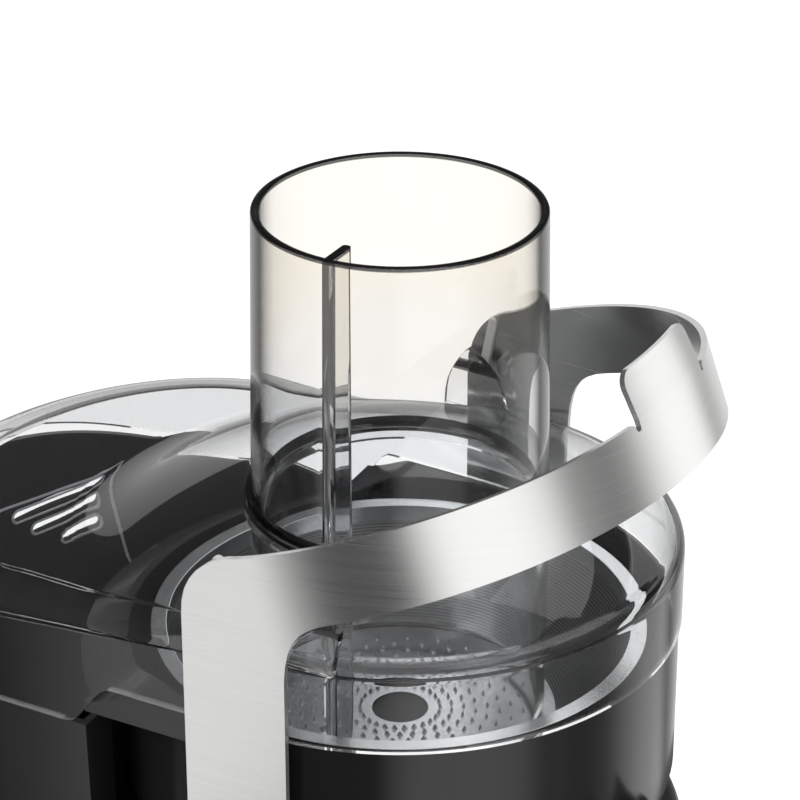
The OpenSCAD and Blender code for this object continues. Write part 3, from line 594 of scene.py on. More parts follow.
def grid_faces(rows, columns, wrap_rows=False):
    """Quads between closed rings of points."""
    faces = []
    for r in range(rows if wrap_rows else rows - 1):
        for c in range(columns):
            after = (c + 1) % columns
            below = (r + 1) % rows
            faces.append((r * columns + c, r * columns + after,
                          below * columns + after, below * columns + c))
    return faces


def prism_faces(start, n):
    """Faces of a closed prism between two outlines of n points, the first from start on."""
    faces = [(start + i, start + (i + 1) % n, start + n + (i + 1) % n, start + n + i)
             for i in range(n)]
    return faces + [tuple(range(start, start + n)), tuple(range(start + 2 * n - 1, start + n - 1, -1))]


def turned(name, profile, slot, steps, width):
    """A solid of revolution about the spindle from a closed profile of (radius, z)."""
    angles = [2 * math.pi * i / steps for i in range(steps)]
    rings = [[(r * math.cos(a), r * math.sin(a), z) for a in angles] for r, z in profile]
    piece = add_rings(name, rings, slot, wrap=True)
    clean(piece)
    soften(piece, width)
    settle(piece)
    return piece


def smooth_copy(node, width, segments=2, shape=None):
    """A merged, softened copy of a CAD node that stands for it; shape may move its points first."""
    source, slot = frame["nodes"][node], SLOTS[node]
    piece = new_object(node + "_look", source.data.copy())
    piece.data.materials.clear()
    piece.data.materials.append(MATERIALS[slot])
    work = bmesh.new()
    work.from_mesh(piece.data)
    bmesh.ops.remove_doubles(work, verts=work.verts, dist=0.00001)
    bmesh.ops.dissolve_limit(work, angle_limit=math.radians(0.6), verts=work.verts, edges=work.edges)
    if shape:
        shape(work)
    work.to_mesh(piece.data)
    work.free()
    if width:
        soften(piece, width, segments)
    settle(piece)
    belongs(piece, source["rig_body"], slot, node)
    return piece


def smooth_max(first, second, reach):
    """The higher of two heights, rounded where they meet."""
    overlap = max(reach - abs(first - second), 0) / reach
    return max(first, second) + overlap * overlap * reach / 4


def ease(low, high, value):
    """0 below low, 1 above high, smooth between."""
    part = min(max((value - low) / (high - low), 0), 1)
    return part * part * (3 - 2 * part)


def mix(first, second, part):
    """Between two numbers."""
    return first + (second - first) * part


# ---- Lid and tube ----

def outline(radius, end_x, end_y):
    """Outline of the lid: a round front and an elliptical end round the pulp container."""
    arc, side = ROUND_STEPS, 36
    points = []
    for i in range(arc):
        a = -math.pi / 2 + math.pi * i / arc
        points.append((radius * math.cos(a), radius * math.sin(a)))
    for i in range(side):
        part = i / side
        points.append((PULP_X * part, mix(radius, end_y, part)))
    for i in range(arc):
        a = math.pi / 2 + math.pi * i / arc
        points.append((PULP_X + end_x * math.cos(a), end_y * math.sin(a)))
    for i in range(side):
        part = 1 - i / side
        points.append((PULP_X * part, -mix(radius, end_y, part)))
    return points


def saddle(x):
    """Height of the container's rim."""
    low, high, start = RIM_Z - 11.6, RIM_Z + 11.5, -112
    if x > start:
        return low
    return low + (high - low) * ((start - x) / (start + LID_BACK)) ** 1.4


def lid_height(x, y, sizes):
    """Height of the lid inside its shoulder."""
    hollow, front_fall, blend = 0.55, 0.4, 4.5
    part = (math.hypot(x, y) - COLLAR_R) / (SHOULDER_R - COLLAR_R)
    shoulder = RIM_Z + sizes.shoulder
    dome = mix(COLLAR_Z - 3, shoulder, part * part * hollow + part * (1 - hollow))
    plateau = shoulder + x * (sizes.pulp_drop / LID_BACK if x < 0 else -front_fall)
    return smooth_max(dome, plateau, blend)


def collar_rings(starts):
    """Rings of the collar round the foot of the tube."""
    inner = TUBE_LOW_R + 0.05
    return [[(radius * math.cos(a), radius * math.sin(a), z) for a in starts] for radius, z in (
        (inner, COLLAR_Z - 8), (inner, COLLAR_Z), (COLLAR_R, COLLAR_Z), (COLLAR_R, COLLAR_Z - 2.4))]


def dome_rings(starts, edge, sizes):
    """Rings of the dome from the collar out to the shoulder."""
    rings, steps, start_r = [], 40, COLLAR_R + 0.5
    for j in range(steps + 1):
        ring = []
        for a, (end_x, end_y) in zip(starts, edge):
            x = mix(start_r * math.cos(a), end_x, j / steps)
            y = mix(start_r * math.sin(a), end_y, j / steps)
            ring.append((x, y, lid_height(x, y, sizes)))
        rings.append(ring)
    return rings


def shoulder_rings(inner, outer, sizes):
    """Rings of the shoulder, curved from the dome's last ring down to the lid's outline."""
    rings, turns = [], 7
    slope = sizes.pulp_drop / LID_BACK
    for j in range(1, turns + 1):
        part = j / turns
        weights = ((1 - part) ** 2, 2 * part * (1 - part), part ** 2)
        ring = []
        for (x, y, z), (out_x, out_y) in zip(inner, outer):
            front = ease(-40, 0, x)
            low = RIM_Z + sizes.shoulder - 6 + min(x, 0) * slope
            bend = (mix((x + out_x) / 2, out_x, front), mix((y + out_y) / 2, out_y, front),
                    mix((z + low) / 2 + 0.3, z - 0.6, front))
            ring.append(tuple(sum(weight * value for weight, value in zip(weights, axis))
                              for axis in zip((x, y, z), bend, (out_x, out_y, low))))
        rings.append(ring)
    return rings


def skirt_rings(top):
    """Rings of the skirt, down over the bowl or to the container's rim."""
    rings = []
    for part in (0.33, 0.66, 1.0):
        ring = []
        for x, y, z in top:
            low = mix(saddle(x) + 0.8, RIM_Z + 4.5, ease(EAR_X - 6, EAR_X + 10, x))
            ring.append((x, y, mix(z, low, part)))
        rings.append(ring)
    return rings


def make_lid(sizes):
    """The clear lid as one shell, and a darkened clear bead on its shoulder that paints the shade at the
    shoulder's edge.
    """
    edge = outline(SHOULDER_R, PULP_END - PULP_SHOULDER, LID_R - PULP_SHOULDER)
    starts = [math.atan2(y, x) for x, y in edge]
    rings = collar_rings(starts) + dome_rings(starts, edge, sizes)
    rings += shoulder_rings(rings[-1], outline(LID_R, PULP_END, LID_R), sizes)
    rings += skirt_rings(rings[-1])
    piece = add_rings("clear_lid_shell", rings, "clear_plastic")
    clean(piece, sheet=True)
    modifier(piece, "SOLIDIFY", thickness=sizes.wall * MM, offset=-1.0, use_even_offset=False)
    settle(piece, 25)
    belongs(piece, "lid", "clear_plastic", "clear_lid")
    # Painted shade: a bead of darkened clear plastic round the front of the shoulder draws the dark line of
    # its edge.
    reach, z, back = LID_R - 1.1, RIM_Z + sizes.shoulder - 4.4, -14
    path = [(back, reach), *arc_points((0, 0), reach, 90, -90, 90), (back, -reach)]
    bead = grow("shoulder_shade_bead", "bead", "shoulder_shade_clear", [(x, y, z) for x, y in path],
                loop_edges(len(path)), Radius=0.55 * MM, Sides=10)
    belongs(bead, "lid", "clear_plastic")


def tube_plan(half, tip, inner_r):
    """Angles round the tube, each with its place on the rib's outline or None on the round wall."""
    steps = 160
    gap = math.asin((half + 0.8) / inner_r)
    plan = [(-math.pi / 2 + gap + 2 * (math.pi - gap) * i / steps, None) for i in range(steps + 1)]
    side = [(half + 0.2, -inner_r + 0.35), (half, -inner_r + 1.2), (half, -tip - 0.9),
            (half - 0.4, -tip - 0.2)]
    rib = [(-x, y) for x, y in side] + [(0, -tip)] + side[::-1]
    for k, spot in enumerate(rib):
        plan.append((1.5 * math.pi - gap + 2 * gap * (k + 1) / (len(rib) + 1), spot))
    return plan


def make_tube(sizes):
    """The feed tube with its guide rib as one solid."""
    half = sizes.rib_width / 2
    inner_r = TUBE_LOW_R - sizes.tube_wall
    plan = tube_plan(half, inner_r - sizes.rib_depth, inner_r)
    rings = []
    for outside, z, shift in (
            (True, TUBE_END_Z, 0), (True, COLLAR_Z, 0), (True, MOUTH_Z - 0.8, 0),
            (True, MOUTH_Z - 0.25, -0.25), (True, MOUTH_Z, -0.9),
            (False, MOUTH_Z, 0.9), (False, MOUTH_Z - 0.25, 0.25), (False, MOUTH_Z - 0.8, 0),
            (False, COLLAR_Z, 0), (False, TUBE_END_Z, 0)):
        flare = sizes.tube_flare * max(0, (z - COLLAR_Z) / (MOUTH_Z - COLLAR_Z))
        radius = TUBE_LOW_R - flare + shift - (0 if outside else sizes.tube_wall)
        ring = []
        for a, spot in plan:
            if spot is None or outside:
                ring.append((radius * math.cos(a), radius * math.sin(a), z))
            else:
                x, y = spot
                ring.append((x, min(y, -radius + 0.35) if abs(x) > half else max(y, -radius + 1.2), z))
        rings.append(ring)
    piece = add_rings("feed_tube_clear", rings, "clear_tube", wrap=True)
    clean(piece)
    settle(piece, 30)
    belongs(piece, "lid", "clear_plastic", "feed_tube")


# ---- Geometry node trees ----

class Nodes:
    """A geometry node tree with named inputs, ending in Realize Instances and Set Material."""

    def __init__(self, name, inputs):
        self.tree = bpy.data.node_groups.new(name, "GeometryNodeTree")
        self.tree.interface.new_socket(name="Geometry", in_out="INPUT", socket_type="NodeSocketGeometry")
        for label, kind, value in inputs + [("Material", "NodeSocketMaterial", None)]:
            socket = self.tree.interface.new_socket(name=label, in_out="INPUT", socket_type=kind)
            if value is not None:
                socket.default_value = value
        self.tree.interface.new_socket(name="Geometry", in_out="OUTPUT", socket_type="NodeSocketGeometry")
        self.entry = self.tree.nodes.new("NodeGroupInput")

    def node(self, kind, **values):
        """Adds a node and feeds its inputs. Returns its outputs."""
        return fill(self.tree, self.tree.nodes.new(kind), values).outputs

    def take(self, label):
        """An input of the tree."""
        return self.entry.outputs[label]

    def math(self, operation, first, second=None):
        """A Math node."""
        return maths(self.tree, operation, first, second)

    def finish(self, geometry):
        """Realizes instances, sets the material and ends the tree."""
        real = self.node("GeometryNodeRealizeInstances", Geometry=geometry)
        look = self.node("GeometryNodeSetMaterial", Geometry=real[0], Material=self.take("Material"))
        self.node("NodeGroupOutput", Geometry=look[0])
        return self.tree


def rows_tree():
    """Small blocks or cones in rows about an axis."""
    nodes = Nodes("rows about an axis", [
        ("Count", "NodeSocketInt", 12), ("Rows", "NodeSocketInt", 1), ("Radius", "NodeSocketFloat", 0.02),
        ("Row step", "NodeSocketFloat", 0.004), ("Twist", "NodeSocketFloat", 0.1),
        ("Height", "NodeSocketFloat", 0.0), ("Depth", "NodeSocketFloat", 0.001),
        ("Width", "NodeSocketFloat", 0.001), ("Tall", "NodeSocketFloat", 0.001),
        ("Taper", "NodeSocketFloat", 0.5), ("Sides", "NodeSocketInt", 8)])
    count, take, sums = nodes.take("Count"), nodes.take, nodes.math
    index = nodes.node("GeometryNodeInputIndex")[0]
    row = sums("FLOOR", sums("DIVIDE", sums("ADD", index, 0.5), count))
    turn = sums("ADD", sums("MULTIPLY", index, sums("DIVIDE", 2 * math.pi, count)),
                sums("MULTIPLY", row, take("Twist")))
    reach = sums("ADD", take("Radius"), sums("MULTIPLY", row, take("Row step")))
    place = nodes.node("ShaderNodeCombineXYZ", X=sums("MULTIPLY", reach, sums("COSINE", turn)),
                       Y=sums("MULTIPLY", reach, sums("SINE", turn)), Z=take("Height"))
    points = nodes.node("GeometryNodePoints", Count=sums("MULTIPLY", count, take("Rows")),
                        Position=place[0])
    shape = nodes.node("GeometryNodeMeshCone", Vertices=take("Sides"), Radius_Bottom=0.5,
                       Radius_Top=sums("MULTIPLY", take("Taper"), 0.5), Depth=1.0)
    size = nodes.node("ShaderNodeCombineXYZ", X=take("Depth"), Y=take("Width"), Z=take("Tall"))
    facing = nodes.node("ShaderNodeCombineXYZ", Z=turn)
    rotation = nodes.node("FunctionNodeEulerToRotation", Euler=facing[0])
    copies = nodes.node("GeometryNodeInstanceOnPoints", Points=points[0], Instance=shape[0],
                        Rotation=rotation[0], Scale=size[0])
    return nodes.finish(copies[0])


def bead_tree():
    """A round bead along the edges of a mesh."""
    nodes = Nodes("bead along a path", [
        ("Radius", "NodeSocketFloat", 0.0004), ("Sides", "NodeSocketInt", 8)])
    path = nodes.node("GeometryNodeMeshToCurve", Mesh=nodes.take("Geometry"))
    ring = nodes.node("GeometryNodeCurvePrimitiveCircle", Resolution=nodes.take("Sides"),
                      Radius=nodes.take("Radius"))
    bead = nodes.node("GeometryNodeCurveToMesh", Curve=path[0], Profile_Curve=ring[0], Fill_Caps=True)
    return nodes.finish(bead[0])


TREES = {}


def grow(name, tree_name, slot, points=(), edges=(), place=None, **values):
    """Runs a node tree on a mesh of edges and keeps the result as plain mesh, moved to its place."""
    if tree_name not in TREES:
        TREES[tree_name] = {"rows": rows_tree, "bead": bead_tree}[tree_name]()
    tree = TREES[tree_name]
    piece = add_piece(name, points, [], slot, edges)
    piece.data.materials.clear()
    maker = modifier(piece, "NODES", node_group=tree)
    sockets = {item.name: item.identifier for item in tree.interface.items_tree
               if item.item_type == "SOCKET" and item.in_out == "INPUT"}
    for label, value in {**values, "Material": MATERIALS[slot]}.items():
        maker[sockets[label.replace("_", " ")]] = value
    made = bake_modifiers(piece)
    if place:
        made.transform(place)
    if not len(made.polygons):
        raise RuntimeError(name + " came out empty")
    clean(piece, 0.000001)
    shade_smooth(piece.data, 40)
    return piece


def loop_edges(count, closed=False):
    """Edges of a run of points."""
    edges = [(i, i + 1) for i in range(count - 1)]
    return edges + [(count - 1, 0)] if closed else edges


# ---- Interlock spring ----

def make_spring():
    """The interlock pin's spring, copied with a mesh of its own; the real spring shortens as the pin goes
    down.
    """
    spring = smooth_copy("pin_spring", 0)
    spring.name = "interlock_spring"
    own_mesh(spring)


# ---- Juice bowl ----

def lower_shoulders(work):
    """Lets the bowl's shoulders fall in a curve towards the container."""
    start, end, drop, cuts = EAR_X + 22, EAR_X, 6.5, 12
    rim, reach_z = RIM_Z + 4.3, RIM_Z - 1.5
    for i in range(cuts):
        x = mix(start, end + 0.5, i / (cuts - 1))
        slice_mesh(work, (x * MM + SPINDLE_X, 0, 0), (1, 0, 0), 0.000001)
    for vertex in work.verts:
        x, z = (vertex.co.x - SPINDLE_X) / MM, vertex.co.z / MM
        if x < start and z > reach_z:
            vertex.co.z = min(z, rim - drop * ease(-start, -end, -x)) * MM


# ---- Pulp container ----

def container_inset(z):
    """How far the container's wall stands in from the lid's outline."""
    top = RIM_Z + 18
    return BIN_SLACK + BIN_DRAFT * (top - z) / (top - TRAY_Z)


def container_plan(inset):
    """Outline of the container: round its end, then back along the bay."""
    side, bay = LID_R - inset, BAY_R + BIN_SLACK
    wall = [p for p in outline(side, PULP_END - inset, side)[ROUND_STEPS:] if p[0] < EAR_X]
    start = math.degrees(math.acos(EAR_X / bay))
    return [(EAR_X, side), *wall, (EAR_X, -side), *arc_points((0, 0), bay, 360 - start, start, 48)]


def wall_point(turn, z, inward):
    """A place on the round end's inner wall by angle in degrees and height over the basket."""
    inset = container_inset(RIM_Z + z) + BIN_WALL + inward
    a = math.radians(turn)
    return (PULP_X + (PULP_END - inset) * math.cos(a), (LID_R - inset) * math.sin(a), RIM_Z + z)


# Each vent slot from its far end to its near end: angle on the wall and height over the basket
SLOT_ENDS = (((162.8, -23.5), (136.7, -20.2)), ((157.5, -30.8), (137.5, -27.5)),
             ((149.1, -38.2), (138.0, -33.8)))
# Border of the vented panel on the same wall
PANEL_EDGE = ((172, -18.4), (166.8, -18.0), (160, -18.8), (153.4, -19.0), (147, -18.5), (141.1, -17.7),
              (136, -16.4), (132.2, -14.6), (131.6, -15.6), (133.0, -20.5), (134.1, -26.5),
              (134.3, -32.5), (133.9, -38.2), (133.2, -44), (132.2, -50.3), (129.6, -59.0),
              (126.9, -69.0), (126.0, -85.3), (126.2, -102.0))


def slot_outline(ends, grow_by=0.0):
    """Outline of a vent slot as angle and height."""
    (a0, z0), (a1, z1) = ends
    reach = math.dist(wall_point(a0, z0, 0), wall_point(a1, z1, 0))
    half = 1.8
    turns = [-math.pi / 2 + math.pi * i / 8 for i in range(9)]
    r = half + grow_by
    flat = [(reach - half + r * math.cos(t), r * math.sin(t)) for t in turns]
    flat += [(half - r * math.cos(t), -r * math.sin(t)) for t in turns]
    return [(mix(a0, a1, along / reach), mix(z0, z1, along / reach) + up) for along, up in flat]


def container_cup():
    """The container's cup with its floor, still one face thick."""
    base = container_plan(container_inset(TRAY_Z))
    rings = []
    for level in (0, 0.01, 0.03, 0.2, 0.4, 0.6, 0.8, 0.93, 1):
        ring = []
        for i, (x, _) in enumerate(base):
            z = mix(TRAY_Z, saddle(x), level)
            ring.append((*container_plan(container_inset(z))[i], z))
        rings.append(ring)
    piece = add_rings("pulp_bin", rings, "gloss_black", more_faces=[tuple(range(len(base)))])
    clean(piece, sheet=True)
    work = bmesh.new()
    work.from_mesh(piece.data)
    floor = min(work.faces, key=lambda face: face.calc_center_median().z)
    if floor.normal.z > 0:
        bmesh.ops.reverse_faces(work, faces=work.faces)
    work.to_mesh(piece.data)
    work.free()
    return piece


def cut_slots(piece):
    """Cuts the vent slots through the container's wall."""
    points, faces = [], []
    for ends in SLOT_ENDS:
        rim = slot_outline(ends)
        faces += prism_faces(len(points), len(rim))
        for inward in (5, -8):
            points += [wall_point(turn, z, inward) for turn, z in rim]
    cutter = add_piece("slot_cutter", points, faces, "gloss_black")
    clean(cutter)
    modifier(piece, "BOOLEAN", object=cutter, operation="DIFFERENCE", solver="EXACT")
    bake_modifiers(piece)
    bpy.data.objects.remove(cutter)


def wall_bead(name, path, closed, **values):
    """A bead on the container's inner wall along a path of angle and height, painted bright as the highlight
    on the edge it follows.
    """
    points = [wall_point(turn, z, 0.1) for turn, z in path]
    bead = grow(name, "bead", "painted_highlight", points, loop_edges(len(points), closed), **values)
    belongs(bead, "pulp_bin", "gloss_black")


def make_container():
    """The pulp container: one cup with a saddle rim, three vent slots, and beads painted bright as
    highlights round the slots and along the panel's border.
    """
    piece = container_cup()
    modifier(piece, "SOLIDIFY", thickness=BIN_WALL * MM, offset=-1.0, use_even_offset=True)
    bake_modifiers(piece)
    cut_slots(piece)
    soften(piece, 0.5, 2, 40)
    settle(piece, 30)
    belongs(piece, "pulp_bin", "gloss_black", "pulp_container")
    # Painted highlights: bright beads round the vent slots and along the panel's border.
    for i, ends in enumerate(SLOT_ENDS, 1):
        wall_bead("slot_highlight_bead_%d" % i, slot_outline(ends, 0.5), True, Radius=0.45 * MM, Sides=8)
    wall_bead("panel_highlight_bead", smooth_run(PANEL_EDGE, 4), False, Radius=0.55 * MM, Sides=10)


def smooth_run(points, steps):
    """A smooth line through points (Catmull-Rom)."""
    run = []
    for i in range(len(points) - 1):
        four = [points[min(max(i + k, 0), len(points) - 1)] for k in (-1, 0, 1, 2)]
        for j in range(steps):
            t = j / steps
            run.append(tuple(
                0.5 * (2 * b + (c - a) * t + (2 * a - 5 * b + 4 * c - d) * t * t
                       + (3 * b - a - 3 * c + d) * t ** 3) for a, b, c, d in zip(*four)))
    return run + [tuple(points[-1])]


# ---- Cams of the lid and pins of the arm ----

CAM_REAR = ((-28, 31), (-27.6, 36.6), (-26.8, 40.4), (-25.4, 43.9), (-22.0, 49.2), (-19.6, 52.0),
            (-17.9, 53.1), (-15.8, 52.4), (-12, 49.8), (-8.6, 47.4), (-5.8, 45.1), (-3.7, 42.8),
            (-2.3, 40.3), (-0.7, 35.1), (1.2, 32.6), (1.6, 31))
CAM_FRONT = ((9, 31), (11.5, 37), (14.4, 41.2), (18, 44.3), (21.8, 46.6), (25, 47.5), (28.4, 46.9),
             (27.7, 42.7), (26.4, 37), (25.6, 31))


def plate(name, profile, y_near, y_far, slot, width=0.3):
    """A plate cut to a profile of x and height over the basket, between two y planes."""
    points = [(x, y, RIM_Z + z) for y in (y_near, y_far) for x, z in profile]
    piece = add_piece(name, points, prism_faces(0, len(profile)), slot)
    clean(piece)
    soften(piece, width, 2, 40)
    settle(piece, 35)
    return piece


def make_cams():
    """Cam fins of the lid, and the flat pins on the arm that press on them."""
    inner, outer = LID_R - 3.4, LID_R - 0.4
    belongs(plate("lid_cam_rear", CAM_REAR, inner, outer, "clear_plastic"), "lid", "clear_plastic")
    belongs(plate("lid_cam_front", CAM_FRONT, -outer, -inner, "clear_plastic"), "lid", "clear_plastic")
    ends, half = ((-9.6, 62.2), (-13.2, 47.2)), 1.9
    turn = math.degrees(math.atan2(ends[0][1] - ends[1][1], ends[0][0] - ends[1][0]))
    shape = (arc_points(ends[0], half, turn - 90, turn + 90, 10)
             + arc_points(ends[1], half, turn + 90, turn + 270, 10))
    deep, shallow = ARM_HALF - 4.4, ARM_HALF - 2.05
    for name, y_near, y_far in (("arm_pin_rear", deep, shallow), ("arm_pin_front", -shallow, -deep)):
        belongs(plate(name, shape, y_near, y_far, "frosted_ring", 0.5), "arm", "frosted_ring")


# ---- Grater and knob ----

def make_grater(sizes):
    """The grater disc with its rows of teeth."""
    reach, hub_r = box_mm("grater_disc")[1].x, 9
    top = box_mm("filter_mesh")[0].z
    bottom = top - 0.9
    disc = turned("grater_plate", [(hub_r, bottom), (reach, bottom), (reach, top), (hub_r, top)],
                  "basket_steel", 96, 0.2)
    belongs(disc, "basket", "basket_steel", "grater_disc")
    place = Matrix.Translation((SPINDLE_X, 0, 0))
    teeth = grow("grater_teeth", "rows", "basket_steel", place=place, Count=sizes.tooth_arms,
                 Rows=sizes.tooth_rows, Radius=13 * MM, Row_step=(reach - 17) / sizes.tooth_rows * MM,
                 Twist=0.13, Height=(top - 0.05) * MM, Depth=1.3 * MM, Width=2.2 * MM, Tall=1.5 * MM,
                 Taper=0.25, Sides=8)
    belongs(teeth, "basket", "basket_steel")


def make_knob(sizes):
    """The speed knob with ribs round its side."""
    low, high = box_mm("speed_knob")
    centre_z, radius = (low.z + high.z) / 2, (high.z - low.z) / 2
    smooth_copy("speed_knob", 0.6, 3)
    place = (Matrix.Translation((SPINDLE_X + (low.x + high.x) / 2 * MM, low.y * MM, centre_z * MM))
             @ Matrix.Rotation(-math.pi / 2, 4, "X"))
    ribs = grow("knob_ribs", "rows", SLOTS["speed_knob"], place=place, Count=sizes.knob_ribs, Rows=1,
                Radius=(radius - 0.25) * MM, Height=1.2 * MM, Depth=0.9 * MM, Width=1.6 * MM,
                Tall=(high.y - low.y - 2.6) * MM, Taper=1.0, Sides=10)
    belongs(ribs, "knob", SLOTS["speed_knob"])


# ---- Locking arm ----

def arc_points(centre, radius, start, end, steps):
    """Points on an arc in a plane, angles in degrees."""
    return [(centre[0] + radius * math.cos(math.radians(mix(start, end, i / steps))),
             centre[1] + radius * math.sin(math.radians(mix(start, end, i / steps))))
            for i in range(steps + 1)]


class ArmPlane:
    """Maps the flat pattern of the arm, q along the band and v up, to its bent place."""
    straight, power, steps = 7.5, 2.1, 120

    def __init__(self, sizes, half):
        self.tilt, self.half = sizes.tilt, half
        self.band_z = RIM_Z + 41.85
        self.table = []
        travel, last = 0.0, None
        for i in range(self.steps + 1):
            a = math.pi / 2 * i / self.steps
            spot = (self.straight + sizes.reach * math.cos(a) ** (2 / self.power),
                    half * math.sin(a) ** (2 / self.power))
            if last:
                travel += math.dist(spot, last)
            self.table.append((travel, *spot))
            last = spot
        self.length = travel

    def from_side(self, x, z):
        """Flat pattern point of a place on the straight side."""
        dx, dz = x, z - self.band_z
        t = dx * math.cos(self.tilt) + dz * math.sin(self.tilt)
        v = -dx * math.sin(self.tilt) + dz * math.cos(self.tilt)
        return self.length + self.straight - t, v

    def bend(self, q, v):
        """Place of a flat pattern point."""
        far = abs(q)
        if far >= self.length:
            t, y = self.straight - (far - self.length), self.half
        else:
            low, high = 0, len(self.table) - 1
            while high - low > 1:
                middle = (low + high) // 2
                if self.table[middle][0] > far:
                    high = middle
                else:
                    low = middle
            (a, ta, ya), (b, tb, yb) = self.table[low], self.table[high]
            part = (far - a) / (b - a)
            t, y = mix(ta, tb, part), mix(ya, yb, part)
        return (t * math.cos(self.tilt) - v * math.sin(self.tilt), math.copysign(y, q),
                self.band_z + t * math.sin(self.tilt) + v * math.cos(self.tilt))


def arm_pattern(plane, sizes):
    """Half of the arm's flat outline, from the middle of the tab round to the band's lower edge."""
    band, tab, high = sizes.band, sizes.tab_width / 2, sizes.band + sizes.tab_height
    back, front = PIVOT_X - sizes.leg / 2, PIVOT_X + sizes.leg / 2
    points = [(0, high), (8, high)]
    points += arc_points((tab - 5, high - 5), 5, 90, 0, 8)
    points += [(tab, band - 1.5)] + arc_points((tab + 1.1, band - 1.5), 1.1, 180, 360, 6)[1:]
    points += arc_points((tab + 2.2 + 1.2, band - 1.2), 1.2, 180, 90, 4)
    points += [plane.from_side(x, RIM_Z + z) for x, z in (
        (6.0, 69.35), (-1.0, 67.0), (-5.0, 65.9), (-9.0, 64.3), (-12.5, 62.0), (-15.5, 59.3),
        (-17.9, 56.0), (-19.7, 52.2), (-20.7, 48.0), (back, 43.0))]
    points += [plane.from_side(x, z) for x, z in arc_points((PIVOT_X, PIVOT_Z), sizes.leg / 2, 180, 360, 28)]
    points += [plane.from_side(x, RIM_Z + z) for x, z in (
        (front, 30.0), (13.9, 35.0), (14.8, 39.5), (16.2, 43.2), (18.2, 46.3), (20.8, 48.6),
        (24.2, 50.6), (28.5, 52.3), (33.0, 53.9))]
    points += [(q, 0) for q in (plane.length - 36, plane.length - 60, 60, 30, 0)]
    return points


def make_arm(sizes):
    """The locking arm, cut flat and bent round."""
    plane = ArmPlane(sizes, ARM_HALF)
    half = arm_pattern(plane, sizes)
    pattern = half + [(-q, v) for q, v in reversed(half[1:-1])]
    work = bmesh.new()
    work.faces.new([work.verts.new((q, v, 0)) for q, v in pattern])
    cuts = [row[0] for row in plane.table if row[0] > 0.5]
    cuts += [plane.length + 3, plane.length + 12]
    for cut in [0] + cuts + [-c for c in cuts]:
        slice_mesh(work, (cut, 0, 0), (1, 0, 0), 0.0001)
    for above in (-3, 0.5, 1.2, 5):
        slice_mesh(work, (0, sizes.band + above, 0), (0, 1, 0), 0.0001)
    for vertex in work.verts:
        q, v = vertex.co.x, vertex.co.y
        x, y, z = plane.bend(q, v)
        if abs(q) < sizes.tab_width / 2 + 0.5:
            x -= sizes.lean * max(v - sizes.band - 0.5, 0)
        vertex.co = (x * MM + SPINDLE_X, y * MM, z * MM)
    mesh = bpy.data.meshes.new("arm")
    work.to_mesh(mesh)
    work.free()
    mesh.materials.append(MATERIALS["brushed_aluminium"])
    piece = new_object("arm_band", mesh)
    outward = sum(f.normal.dot(f.center - Vector((SPINDLE_X, 0, f.center.z))) * f.area
                  for f in mesh.polygons)
    if outward < 0:
        mesh.flip_normals()
    modifier(piece, "SOLIDIFY", thickness=sizes.metal * MM, offset=-1.0, use_even_offset=True)
    soften(piece, 0.5, 3, 50)
    settle(piece, 40)
    belongs(piece, "arm", "brushed_aluminium", "locking_arm")


# ---- Stage ----

# Brightness of the studio round the juicer by direction in degrees, as its metal shows it
STUDIO = (
    (-180, 0.12), (-140, 0.10), (-127, 0.20), (-121, 1.00), (-110, 0.95), (-102, 0.40), (-93, 0.06),
    (-67, 0.04), (-60, 0.75), (-53, 1.20), (-27, 1.20), (-16, 1.00), (-7, 0.30), (11, 0.16), (21, 0.30),
    (31, 0.90), (42, 1.25), (57, 1.20), (66, 0.30), (78, 0.70), (90, 0.85), (112, 0.80), (135, 0.75),
    (150, 0.65), (165, 0.30), (180, 0.12))


def stage_object(name, points, faces, material):
    """A piece of the stage."""
    mesh = bpy.data.meshes.new(name)
    mesh.from_pydata(points, [], faces)
    mesh.materials.append(material)
    made = new_object(name, mesh)
    return made


def stage_material(name):
    """A material of the stage with its tree and the socket of its surface."""
    material = bpy.data.materials.new(name)
    material.use_nodes = True
    tree = material.node_tree
    return material, tree, tree.nodes["Material Output"].inputs["Surface"]


def seen_straight(tree):
    """Two masks: where only clear plastic lies between camera and stage, and where a mirror does."""
    path = tree.nodes.new("ShaderNodeLightPath")
    turns = maths(tree, "ADD", path.outputs["Glossy Depth"], path.outputs["Diffuse Depth"])
    straight = maths(tree, "SUBTRACT", 1.0, maths(tree, "MINIMUM", turns, 1.0))
    return straight, maths(tree, "MINIMUM", path.outputs["Glossy Depth"], 1.0)


def make_reflector():
    """A wide dish round the juicer that only reflections show, bright and dark by direction."""
    material, tree, surface = stage_material("reflector")
    place = tree.nodes.new("ShaderNodeTexCoord")
    x, y, _ = coordinates(tree, place.outputs["Object"])
    turn = ramp(tree, maths(tree, "ARCTAN2", y, x), -math.pi, math.pi)
    bands = fill(tree, tree.nodes.new("ShaderNodeValToRGB"), {"Fac": turn})
    stops = bands.color_ramp.elements
    stops.remove(stops[1])
    for i, (degrees, glow) in enumerate(STUDIO):
        stop = stops[0] if i == 0 else stops.new((degrees + 180) / 360)
        stop.position = (degrees + 180) / 360
        stop.color = (glow, glow, glow, 1)
    lit = fill(tree, tree.nodes.new("ShaderNodeEmission"), {"Color": bands.outputs["Color"]})
    tree.links.new(lit.outputs[0], surface)
    steps, rings = 96, ((0.33, 0.001), (0.9, 0.004), (1.5, 0.35), (1.8, 0.8))
    points = [(r * math.cos(2 * math.pi * i / steps), r * math.sin(2 * math.pi * i / steps), z)
              for r, z in rings for i in range(steps)]
    dish = stage_object("reflector", points, grid_faces(len(rings), steps), material)
    for ray in ("camera", "diffuse", "transmission", "shadow", "volume_scatter"):
        setattr(dish, "visible_" + ray, False)


